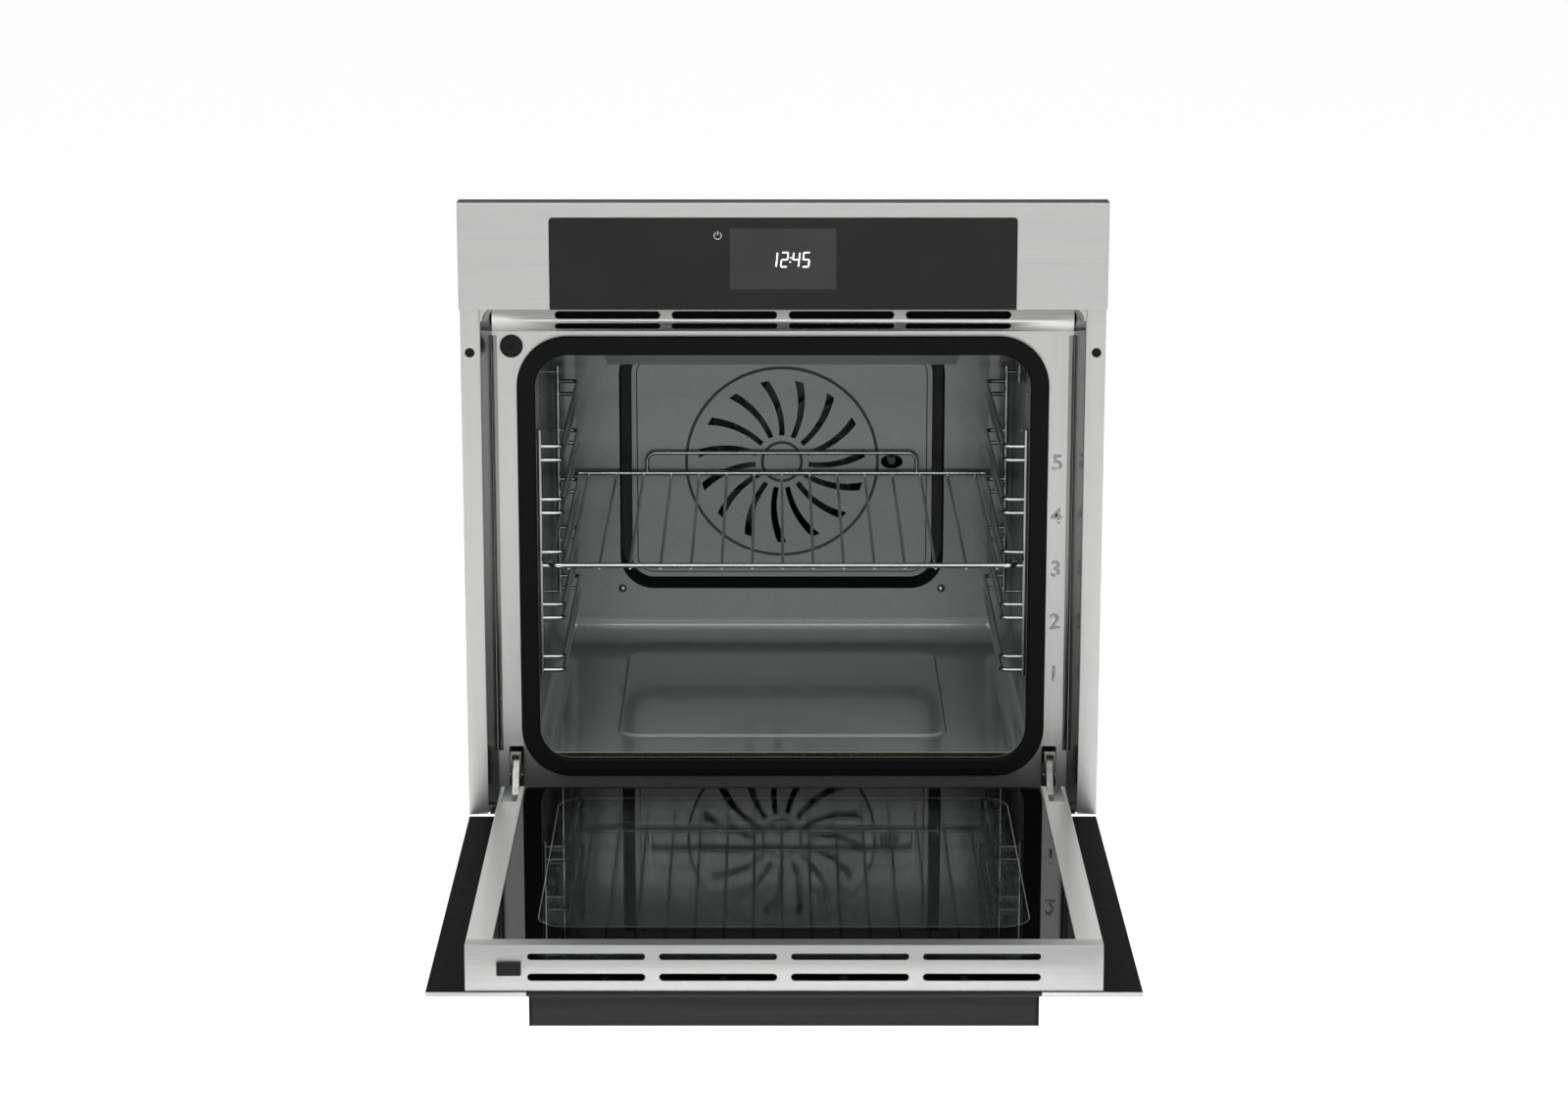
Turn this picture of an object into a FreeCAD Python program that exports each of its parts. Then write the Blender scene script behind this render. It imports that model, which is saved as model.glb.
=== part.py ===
import FreeCAD, Part
import math
import os
import Sketcher
from FreeCAD import Vector

# Built-in wall oven with its drop-down door open. Millimetres, +Z up, the user stands on the -Y side.
# The origin is the centre of the casing's base. "Depth" is measured back from the fascia's front face
# and "height" up from the lower edge of the front, as an oven's installation drawing gives them.

DOC = FreeCAD.newDocument("wall_oven")
SUB_PARTS = []

# ---------------------------------------------------------------------------------------------------
# Driving dimensions
# ---------------------------------------------------------------------------------------------------
SIZES = (
    # overall
    ("front_width", 595.0), ("front_height", 594.0), ("front_drop", 5.0), ("front_thickness", 21.0),
    ("casing_depth", 548.0), ("casing_step", 15.0), ("deck_room", 23.0), ("control_depth", 89.0),
    ("skin", 0.8), ("gap", 0.3), ("side_setback", 6.0),
    # fascia and its window
    ("fascia_height", 99.2), ("fascia_wall", 1.5), ("fascia_step", 13.6), ("trim_width", 84.0),
    ("window_height", 84.9), ("window_corner", 3.0), ("window_glass", 4.0), ("display_width", 97.0),
    ("display_height", 56.2), ("display_rise", 19.0), ("display_thick", 6.0), ("carrier_thick", 3.0),
    ("board_thick", 1.6),
    # front frame
    ("column_width", 18.5), ("plate_depth", 50.0), ("plate_inset", 26.5), ("vent_opening", 28.8),
    ("frame_bottom", 7.0), ("frame_sheet", 1.0), ("mount_hole", 4.5), ("mount_drop", 141.6),
    ("mount_inset", 8.5), ("rail_nose", 46.0), ("nose_rise", 11.2), ("crest_rise", 24.0),
    ("rail_back", 47.5), ("vent_spill", 7.8), ("vent_web", 10.7),
    ("vent_high_rise", 4.6), ("vent_high_slot", 7.2), ("vent_low_drop", 6.1), ("vent_low_slot", 5.6),
    ("valve_inset", 44.5), ("valve_drop", 14.0), ("valve_radius", 10.7),
    # gasket and cavity
    ("cavity_side", 39.0), ("mouth_lip", 9.0), ("mouth_low", 53.0), ("mouth_drop", 22.0),
    ("mouth_corner", 30.0), ("gasket_band", 17.5), ("gasket_thick", 6.0), ("floor_height", 58.0),
    ("ceiling_rise", 8.0), ("rear_room", 99.0), ("liner_sheet", 1.0), ("liner_corner", 24.0),
    ("emboss_margin", 80.0), ("emboss_start", 101.0), ("emboss_rear_room", 55.0), ("emboss_rise", 2.5),
    ("insulation_thick", 22.0), ("insulation_gap", 2.0), ("element_room", 14.0),
    # fan wall
    ("fan_height", 251.0), ("chamber_width", 340.0), ("chamber_low", 114.0), ("chamber_drop", 72.0),
    ("chamber_corner", 35.0), ("chamber_depth", 54.0), ("cover_gap", 13.0), ("cover_sheet", 2.0),
    ("ring_radius", 101.5), ("ring_groove", 3.0), ("groove_depth", 1.5),
    ("hub_ring_radius", 22.0), ("hem_inset", 5.0),
    ("swirl_inner", 28.0), ("swirl_outer", 87.0), ("swirl_count", 15.0), ("post_radius", 4.0),
    ("fan_radius", 82.0), ("fan_width", 22.0), ("blade_count", 20.0), ("shaft_radius", 4.0),
    ("shaft_fit", 0.06), ("heater_radius", 98.0), ("heater_rod", 3.2), ("hood_fall", 97.0),
    ("hood_side", 11.0), ("hood_clearance", 5.0), ("hood_reach", 44.0), ("steam_x", 115.0),
    ("steam_radius", 4.0), ("grill_margin", 90.0), ("grill_drop", 14.0), ("sensor_inset", 42.0),
    ("sensor_drop", 30.0), ("sensor_radius", 2.5),
    # racks and shelf
    ("rack_standoff", 10.0), ("guide_reach", 21.0), ("rack_front", 75.0), ("rack_rear_room", 74.0),
    ("rack_low", 127.4), ("rack_tail", 15.9), ("post_wire", 2.5), ("guide_wire", 2.2),
    ("level_low", 132.7), ("level_pitch", 51.3), ("guide_spread", 13.2), ("level_count", 5.0),
    ("shelf_rod", 2.5), ("shelf_wire", 1.5), ("shelf_overhang", 12.0), ("shelf_front", 55.0),
    ("shelf_rear_gap", 8.0), ("shelf_side_gap", 6.7), ("shelf_corner", 12.0), ("arch_inset", 68.0),
    ("arch_rise", 21.5), ("arch_corner", 9.0),
    # door
    ("pin_depth", 9.3), ("pin_height", 10.3), ("pin_radius", 3.0), ("pin_fit", 0.06),
    ("door_glass_low", 2.2), ("door_glass_high", 5.0), ("door_face", 1.0), ("door_start", 14.6),
    ("door_gap", 4.2), ("door_side_gap", 6.5), ("door_rail_width", 22.5), ("door_rail_sheet", 1.0),
    ("door_rail_start", -17.4), ("seal_gap", 0.5), ("cap_setback", 2.0), ("cap_depth", 18.0),
    ("cap_bend", 27.0), ("cap_tilt", 2.5), ("door_spill", 9.8), ("door_web", 11.5),
    ("door_slot_height", 6.4), ("inner_glass", 4.0), ("mid_glass", 3.2), ("pane_start", -24.0),
    ("handle_inset", 28.5), ("handle_drop", 36.4), ("handle_wall", 3.0), ("handle_lip", 34.0),
    ("catch_inset", 36.5), ("catch_width", 20.0), ("catch_height", 11.6),
    # hinges
    ("hinge_inset", 10.5), ("arm_thick", 6.0), ("ear_gap", 0.4), ("ear_thick", 1.6),
    ("notch_half", 7.0), ("notch_end", -65.0), ("slot_low", 24.0), ("slot_high", 64.0),
    ("latch_pivot_depth", 39.0), ("latch_pivot_height", 39.0), ("latch_pin_radius", 1.8),
    # cooling blower and supply
    ("blower_radius", 24.0), ("blower_length", 250.0), ("blower_depth", 82.0), ("blower_drop", 54.0),
    ("gland_radius", 8.0), ("gland_inset", 74.0), ("gland_height", 90.0), ("boiler_inset", 29.0),
)

# What fits to something else takes its size and place from the driving dimensions.
FITS = (
    ("casing_width", "size.front_width - 2 * size.column_width"),
    ("casing_height", "size.front_height - size.front_drop - size.casing_step"),
    ("cavity_width", "fit.casing_width - 2 * size.cavity_side"),
    ("mouth_width", "fit.cavity_width - 2 * size.mouth_lip"),
    ("hood_low_width", "size.chamber_width + 2 * size.hood_side"),
    ("hood_high_width", "fit.cavity_width - 2 * size.hood_clearance"),
    ("emboss_width", "fit.cavity_width - 2 * size.emboss_margin"),
    ("rack_x", "fit.cavity_width / 2 - size.rack_standoff"),
    ("guide_x", "fit.rack_x - size.guide_reach"),
    ("shelf_half", "fit.guide_x + size.shelf_overhang"),
    ("shelf_pitch", "(fit.guide_x - size.shelf_side_gap) / 7"),
    ("arch_half", "fit.guide_x - size.arch_inset"),
    ("sensor_x", "fit.cavity_width / 2 - size.sensor_inset"),
    ("grill_lane", "(fit.cavity_width - 2 * size.grill_margin) / 5"),
    ("rail_outer", "size.front_width / 2 - size.plate_inset - size.door_side_gap"),
    ("hinge_x", "fit.rail_outer - size.hinge_inset"),
    ("valve_x", "size.front_width / 2 - size.valve_inset"),
    ("window_width", "size.front_width - 2 * size.trim_width"),
    ("vent_pitch", "(fit.window_width + size.vent_spill) / 4"),
    ("vent_slot", "fit.vent_pitch - size.vent_web"),
    ("door_slot_pitch", "(fit.window_width + size.door_spill) / 4"),
    ("door_slot", "fit.door_slot_pitch - size.door_web"),
    ("catch_x", "fit.rail_outer - size.catch_inset"),
    ("plate_top", "size.front_height - size.fascia_height - size.vent_opening"),
    ("rail_nose_height", "fit.plate_top + size.nose_rise"),
    ("rail_top", "fit.plate_top + size.crest_rise"),
    ("mouth_high", "fit.plate_top - size.mouth_drop"),
    ("ceiling_height", "fit.mouth_high + size.ceiling_rise"),
    ("deck_height", "fit.ceiling_height + size.liner_sheet + size.insulation_gap"
                    " + size.insulation_thick + size.deck_room"),
    ("mount_height", "size.front_height - size.mount_drop"),
    ("valve_height", "fit.plate_top - size.valve_drop"),
    ("hood_height", "fit.ceiling_height - size.hood_fall"),
    ("chamber_high", "fit.ceiling_height - size.chamber_drop"),
    ("rack_high", "size.level_low + (size.level_count - 1) * size.level_pitch"
                  " + size.guide_spread + size.rack_tail"),
    ("door_length", "size.front_height - size.fascia_height - size.door_gap"
                    " - size.pin_depth - size.pin_height + size.door_start"),
    ("door_body_end", "size.door_start - fit.door_length + size.cap_setback"),
    ("handle_depth", "size.door_start - fit.door_length + size.handle_inset"),
    ("blower_height", "size.front_height - size.blower_drop"),
    ("cavity_end", "size.casing_depth + size.front_thickness - size.rear_room"),
    ("rack_rear", "fit.cavity_end - size.rack_rear_room"),
    ("shelf_rear", "fit.cavity_end - size.shelf_rear_gap"),
    ("emboss_end", "fit.cavity_end - size.emboss_rear_room"),
    ("door_inner_face", "size.plate_depth - size.gasket_thick - size.seal_gap + size.door_face"),
)

SHEET = DOC.addObject("Spreadsheet::Sheet", "size")
for row, (alias, value) in enumerate(SIZES, start=1):
    SHEET.set(f"A{row}", alias)
    SHEET.set(f"B{row}", str(value))
    SHEET.setAlias(f"B{row}", alias)
DOC.recompute()

FIT_SHEET = DOC.addObject("Spreadsheet::Sheet", "fit")
for row, (alias, formula) in enumerate(FITS, start=1):
    FIT_SHEET.set(f"A{row}", alias)
    FIT_SHEET.set(f"B{row}", "=" + formula.replace("fit.", ""))
    FIT_SHEET.setAlias(f"B{row}", alias)
DOC.recompute()


# ---------------------------------------------------------------------------------------------------
# Places as expressions, and numbers read from them
# ---------------------------------------------------------------------------------------------------
def depth(value):
    """Row Y of a depth behind the fascia's front face."""
    return f"({value} - size.casing_depth / 2 - size.front_thickness)"


def height(value):
    """Row Z of a height above the lower edge of the front."""
    return f"({value} - size.front_drop)"


def number(expression):
    """Value of an expression over the sheet's cells."""
    return float(SHEET.evalExpression(str(expression)))


def size(alias):
    """Value of one driving dimension."""
    return float(SHEET.get(alias))


def fit(alias):
    """Value of one dimension that follows others."""
    return float(FIT_SHEET.get(alias))


def keep(item, name):
    """Register an object as a sub-part with its own label."""
    item.Label = name
    SUB_PARTS.append(item)
    return item


# ---------------------------------------------------------------------------------------------------
# Bound primitives and booleans
# ---------------------------------------------------------------------------------------------------
def box(name, low, high):
    """Box between two corners given as expressions."""
    item = DOC.addObject("Part::Box", name)
    for side, start, end in zip(("Length", "Width", "Height"), low, high):
        item.setExpression(side, f"({end}) - ({start})")
    for axis, start in zip("xyz", low):
        item.setExpression(f".Placement.Base.{axis}", str(start))
    return item


TURNS = {
    "z": FreeCAD.Rotation(),
    "y": FreeCAD.Rotation(Vector(1, 0, 0), -90),
    "x": FreeCAD.Rotation(Vector(0, 1, 0), 90),
}


def rod(name, axis, radius, start, length):
    """Cylinder from a start point along a row axis."""
    item = DOC.addObject("Part::Cylinder", name)
    item.Placement = FreeCAD.Placement(Vector(), TURNS[axis])
    item.setExpression("Radius", str(radius))
    item.setExpression("Height", str(length))
    for letter, place in zip("xyz", start):
        item.setExpression(f".Placement.Base.{letter}", str(place))
    return item


def cut(name, base, *tools):
    """Base with the tools taken away."""
    item = DOC.addObject("Part::Cut", name)
    item.Base = base
    item.Tool = tools[0] if len(tools) == 1 else fuse(name + "_tools", *tools)
    return item


def fuse(name, *members):
    """Members joined into one solid or a group of solids."""
    item = DOC.addObject("Part::MultiFuse", name)
    item.Shapes = list(members)
    return item


def shape_part(name, shape):
    """Sub-part whose shape is worked out from the sheet's values."""
    item = DOC.addObject("Part::Feature", name)
    item.Shape = shape
    item.Placement = FreeCAD.Placement()
    return keep(item, name)


# ---------------------------------------------------------------------------------------------------
# Sketched bodies
# ---------------------------------------------------------------------------------------------------
class Outline:
    """Sketch on one of a body's origin planes, every point bound to expressions."""

    def __init__(self, body, name, role, offset):
        self.sketch = body.newObject("Sketcher::SketchObject", name)
        plane = [item for item in body.Origin.OriginFeatures if item.Role == role][0]
        self.sketch.AttachmentSupport = (plane, [""])
        self.sketch.MapMode = "FlatFace"
        self.sketch.setExpression(".AttachmentOffset.Base.z", offset)

    def bind(self, constraint, expression):
        index = self.sketch.addConstraint(constraint)
        self.sketch.setExpression(f"Constraints[{index}]", expression)

    def fix_point(self, geometry, point, across, up):
        self.bind(Sketcher.Constraint("DistanceX", -1, 1, geometry, point, number(across)), across)
        self.bind(Sketcher.Constraint("DistanceY", -1, 1, geometry, point, number(up)), up)

    def polygon(self, points):
        """Closed outline through points given as pairs of expressions."""
        places = [Vector(number(across), number(up), 0) for across, up in points]
        count = len(points)
        first = self.sketch.GeometryCount
        for index in range(count):
            line = Part.LineSegment(places[index], places[(index + 1) % count])
            self.sketch.addGeometry(line, False)
        for index, (across, up) in enumerate(points):
            following = first + (index + 1) % count
            self.sketch.addConstraint(Sketcher.Constraint("Coincident", first + index, 2, following, 1))
            self.fix_point(first + index, 1, str(across), str(up))

    def circle(self, across, up, radius):
        centre = Vector(number(across), number(up), 0)
        item = self.sketch.addGeometry(Part.Circle(centre, Vector(0, 0, 1), number(radius)), False)
        self.fix_point(item, 3, str(across), str(up))
        self.bind(Sketcher.Constraint("Radius", item, number(radius)), str(radius))

    def rounded(self, left, right, low, high, radius):
        """Rectangle with four equal round corners."""
        near, far = number(left), number(right)
        base, top = number(low), number(high)
        bend = number(radius)
        first = self.sketch.GeometryCount
        corners = ((far - bend, base + bend, 1.5), (far - bend, top - bend, 0.0),
                   (near + bend, top - bend, 0.5), (near + bend, base + bend, 1.0))
        sides = ((near + bend, base, far - bend, base), (far, base + bend, far, top - bend),
                 (far - bend, top, near + bend, top), (near, top - bend, near, base + bend))
        centres = ((right, low, "-", "+"), (right, high, "-", "-"),
                   (left, high, "+", "-"), (left, low, "+", "+"))
        for side, corner in zip(sides, corners):
            line = Part.LineSegment(Vector(side[0], side[1], 0), Vector(side[2], side[3], 0))
            self.sketch.addGeometry(line, False)
            circle = Part.Circle(Vector(corner[0], corner[1], 0), Vector(0, 0, 1), bend)
            arc = Part.ArcOfCircle(circle, corner[2] * math.pi, (corner[2] + 0.5) * math.pi)
            self.sketch.addGeometry(arc, False)
        for index in range(4):
            line = first + 2 * index
            arc = line + 1
            following = first + (2 * index + 2) % 8
            self.sketch.addConstraint(Sketcher.Constraint("Tangent", line, 2, arc, 1))
            self.sketch.addConstraint(Sketcher.Constraint("Tangent", arc, 2, following, 1))
        for index, (across, up, sign_x, sign_y) in enumerate(centres):
            self.fix_point(first + 2 * index + 1, 3, f"({across}) {sign_x} ({radius})",
                           f"({up}) {sign_y} ({radius})")
        self.bind(Sketcher.Constraint("Radius", first + 1, bend), str(radius))

    def slot(self, middle, up, length, tall):
        """Straight slot with round ends, along the sketch's first axis."""
        radius = number(tall) / 2
        half = number(length) / 2 - radius
        across, level = number(middle), number(up)
        first = self.sketch.GeometryCount
        upper = Part.LineSegment(Vector(across + half, level + radius, 0),
                                 Vector(across - half, level + radius, 0))
        lower = Part.LineSegment(Vector(across - half, level - radius, 0),
                                 Vector(across + half, level - radius, 0))
        left = Part.Circle(Vector(across - half, level, 0), Vector(0, 0, 1), radius)
        right = Part.Circle(Vector(across + half, level, 0), Vector(0, 0, 1), radius)
        self.sketch.addGeometry(upper, False)
        self.sketch.addGeometry(Part.ArcOfCircle(left, 0.5 * math.pi, 1.5 * math.pi), False)
        self.sketch.addGeometry(lower, False)
        self.sketch.addGeometry(Part.ArcOfCircle(right, 1.5 * math.pi, 2.5 * math.pi), False)
        for index in range(4):
            following = first + (index + 1) % 4
            self.sketch.addConstraint(Sketcher.Constraint("Tangent", first + index, 2, following, 1))
        reach = f"(({length}) - ({tall})) / 2"
        self.fix_point(first + 1, 3, f"({middle}) - {reach}", str(up))
        self.fix_point(first + 3, 3, f"({middle}) + {reach}", str(up))
        self.bind(Sketcher.Constraint("Radius", first + 1, radius), f"({tall}) / 2")


class SlabBody:
    """PartDesign body made of pads between two planes across one row axis."""

    ROLES = {"y": ("XZ_Plane", -1), "z": ("XY_Plane", 1), "x": ("YZ_Plane", 1)}

    def __init__(self, name):
        self.body = DOC.addObject("PartDesign::Body", name)
        self.name = name
        self.steps = 0

    def outline(self, axis, start, end):
        """Sketch on the plane from which a pad grows along its own normal."""
        role, sign = self.ROLES[axis]
        offset = f"-({end})" if sign < 0 else f"({start})"
        self.steps += 1
        return Outline(self.body, f"{self.name}_sketch_{self.steps}", role, offset)

    def pad(self, outline, start, end):
        feature = self.body.newObject("PartDesign::Pad", f"{self.name}_pad_{self.steps}")
        feature.Profile = outline.sketch
        feature.setExpression("Length", f"({end}) - ({start})")
        self.body.Tip = feature
        return feature

    def pocket(self, outline, start, end):
        """Cut between the two planes: the pocket runs along the sketch's own normal."""
        feature = self.body.newObject("PartDesign::Pocket", f"{self.name}_pocket_{self.steps}")
        feature.Profile = outline.sketch
        feature.Reversed = True
        feature.setExpression("Length", f"({end}) - ({start})")
        self.body.Tip = feature
        return feature


def prism(name, axis, start, end, points):
    """Body padded from one polygon."""
    slab = SlabBody(name)
    outline = slab.outline(axis, start, end)
    outline.polygon(points)
    slab.pad(outline, start, end)
    return slab.body


# ---------------------------------------------------------------------------------------------------
# Round wire bent along a path
# ---------------------------------------------------------------------------------------------------
def bent_wire(points, radius, bend):
    """Round rod along straight runs joined by tangent arcs."""
    edges = []
    start = points[0]
    for before, corner, after in zip(points, points[1:], points[2:]):
        into = (corner - before).normalize()
        out = (after - corner).normalize()
        half_turn = into.getAngle(out) / 2
        reach = bend * math.tan(half_turn)
        enter = corner - into * reach
        leave = corner + out * reach
        inward = (out - into).normalize()
        middle = corner + inward * (bend / math.cos(half_turn) - bend)
        edges.append(Part.LineSegment(start, enter).toShape())
        edges.append(Part.Arc(enter, middle, leave).toShape())
        start = leave
    edges.append(Part.LineSegment(start, points[-1]).toShape())
    path = Part.Wire(edges)
    direction = (points[1] - points[0]).normalize()
    profile = Part.Wire([Part.Circle(points[0], direction, radius).toShape()])
    return path.makePipeShell([profile], True, False)


def joined(shapes):
    """One shape fused from many, with the seams cleaned."""
    return shapes[0].multiFuse(shapes[1:]).removeSplitter()


def bar(start, end, radius):
    """Straight round bar between two points."""
    return Part.makeCylinder(radius, (end - start).Length, start, end - start)


def block(low, high):
    """Plain block between two corner vectors."""
    span = high - low
    return Part.makeBox(span.x, span.y, span.z, low)


def rounded_block(low, high, radius, keep_sharp):
    """Block with its edges rounded, apart from those that the test keeps sharp."""
    solid = block(low, high)
    edges = [edge for edge in solid.Edges if not keep_sharp(edge)]
    return solid.makeFillet(radius, edges)


def at(across, deep, high):
    """Row point from an across position, a depth and a height."""
    return Vector(across, number(depth(deep)), number(height(high)))


SIDES = (("left", -1), ("right", 1))


def mirrored_span(sign, near, far):
    """Low and high X expressions of a span at one side of the centre plane."""
    if sign > 0:
        return f"({near})", f"({far})"
    return f"-({far})", f"-({near})"


# ---------------------------------------------------------------------------------------------------
# Control fascia
# ---------------------------------------------------------------------------------------------------
def make_fascia():
    """Folded steel fascia, its window glass, the carrier, the display and the control board."""
    half = "size.front_width / 2"
    low, high = height("size.front_height - size.fascia_height"), height("size.front_height")
    wall = "size.fascia_wall"
    shell = box("fascia_outer", (f"-{half}", depth("0"), low), (half, depth("size.front_thickness"), high))
    hollow = box("fascia_hollow", (f"-{half} + {wall}", depth(wall), f"{low} + {wall}"),
                 (f"{half} - {wall}", depth("size.front_thickness + 5"), f"{high} - {wall}"))
    window_half = "fit.window_width / 2"
    window_high = f"{low} + size.window_height"
    below = f"{low} - 3 * size.window_corner"
    window = SlabBody("fascia_window")
    opening = window.outline("y", depth("-5"), depth(f"{wall} + 1"))
    opening.rounded(f"-{window_half} - size.gap", f"{window_half} + size.gap", below,
                    f"{window_high} + size.gap", "size.window_corner + size.gap")
    window.pad(opening, depth("-5"), depth(f"{wall} + 1"))
    keep(cut("control_fascia", shell, hollow, window.body), "control_fascia")

    glass = SlabBody("control_glass")
    face = glass.outline("y", depth("0"), depth("size.window_glass"))
    face.rounded(f"-{window_half}", window_half, below, window_high, "size.window_corner")
    glass.pad(face, depth("0"), depth("size.window_glass"))
    trim = glass.outline("y", depth("-1"), depth("size.window_glass + 1"))
    trim.polygon(((f"-{half}", f"{below} - 5"), (half, f"{below} - 5"), (half, low), (f"-{half}", low)))
    glass.pocket(trim, depth("-1"), depth("size.window_glass + 1"))
    relief = glass.outline("y", depth(wall), depth("size.window_glass + 1"))
    relief.polygon(((f"-{half}", f"{low} - 5"), (half, f"{low} - 5"),
                    (half, f"{low} + {wall} + size.gap"), (f"-{half}", f"{low} + {wall} + size.gap")))
    glass.pocket(relief, depth(wall), depth("size.window_glass + 1"))
    keep(glass.body, "control_glass")

    carrier_front = "size.window_glass"
    carrier_back = "size.window_glass + size.carrier_thick"
    display_low = f"{low} + size.display_rise"
    display_high = f"{display_low} + size.display_height"
    carrier = SlabBody("fascia_carrier")
    plate = carrier.outline("y", depth(carrier_front), depth(carrier_back))
    plate.rounded(f"-{window_half} - 12", f"{window_half} + 12", f"{low} + 3", f"{window_high} + 4", "4")
    plate.polygon((("-size.display_width / 2 - size.gap", f"{display_low} - size.gap"),
                   ("size.display_width / 2 + size.gap", f"{display_low} - size.gap"),
                   ("size.display_width / 2 + size.gap", f"{display_high} + size.gap"),
                   ("-size.display_width / 2 - size.gap", f"{display_high} + size.gap")))
    carrier.pad(plate, depth(carrier_front), depth(carrier_back))
    keep(carrier.body, "fascia_carrier")

    display = box("display_block", ("-size.display_width / 2", depth(carrier_front), display_low),
                  ("size.display_width / 2", depth(f"{carrier_front} + size.display_thick"), display_high))
    board_front = f"{carrier_front} + size.display_thick + 2"
    board_back = f"{board_front} + size.board_thick"
    board = box("board_plate", (f"-{window_half} + 20", depth(board_front), f"{low} + 8"),
                (f"{window_half} - 20", depth(board_back), f"{window_high} - 4"))
    relay_a = box("board_relay_a", ("-150", depth(f"{board_back} - 0.2"), f"{low} + 20"),
                  ("-120", depth(f"{board_back} + 18"), f"{low} + 40"))
    relay_b = box("board_relay_b", ("-105", depth(f"{board_back} - 0.2"), f"{low} + 20"),
                  ("-75", depth(f"{board_back} + 18"), f"{low} + 40"))
    transformer = box("board_transformer", ("90", depth(f"{board_back} - 0.2"), f"{low} + 22"),
                      ("135", depth(f"{board_back} + 22"), f"{low} + 58"))
    pins = box("board_pins", ("-30", depth(f"{carrier_front} + size.display_thick - 0.2"), f"{low} + 40"),
               ("30", depth(f"{board_front} + 0.2"), f"{low} + 46"))
    keep(fuse("board_with_display", display, pins, board, relay_a, relay_b, transformer), "control_board")


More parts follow.
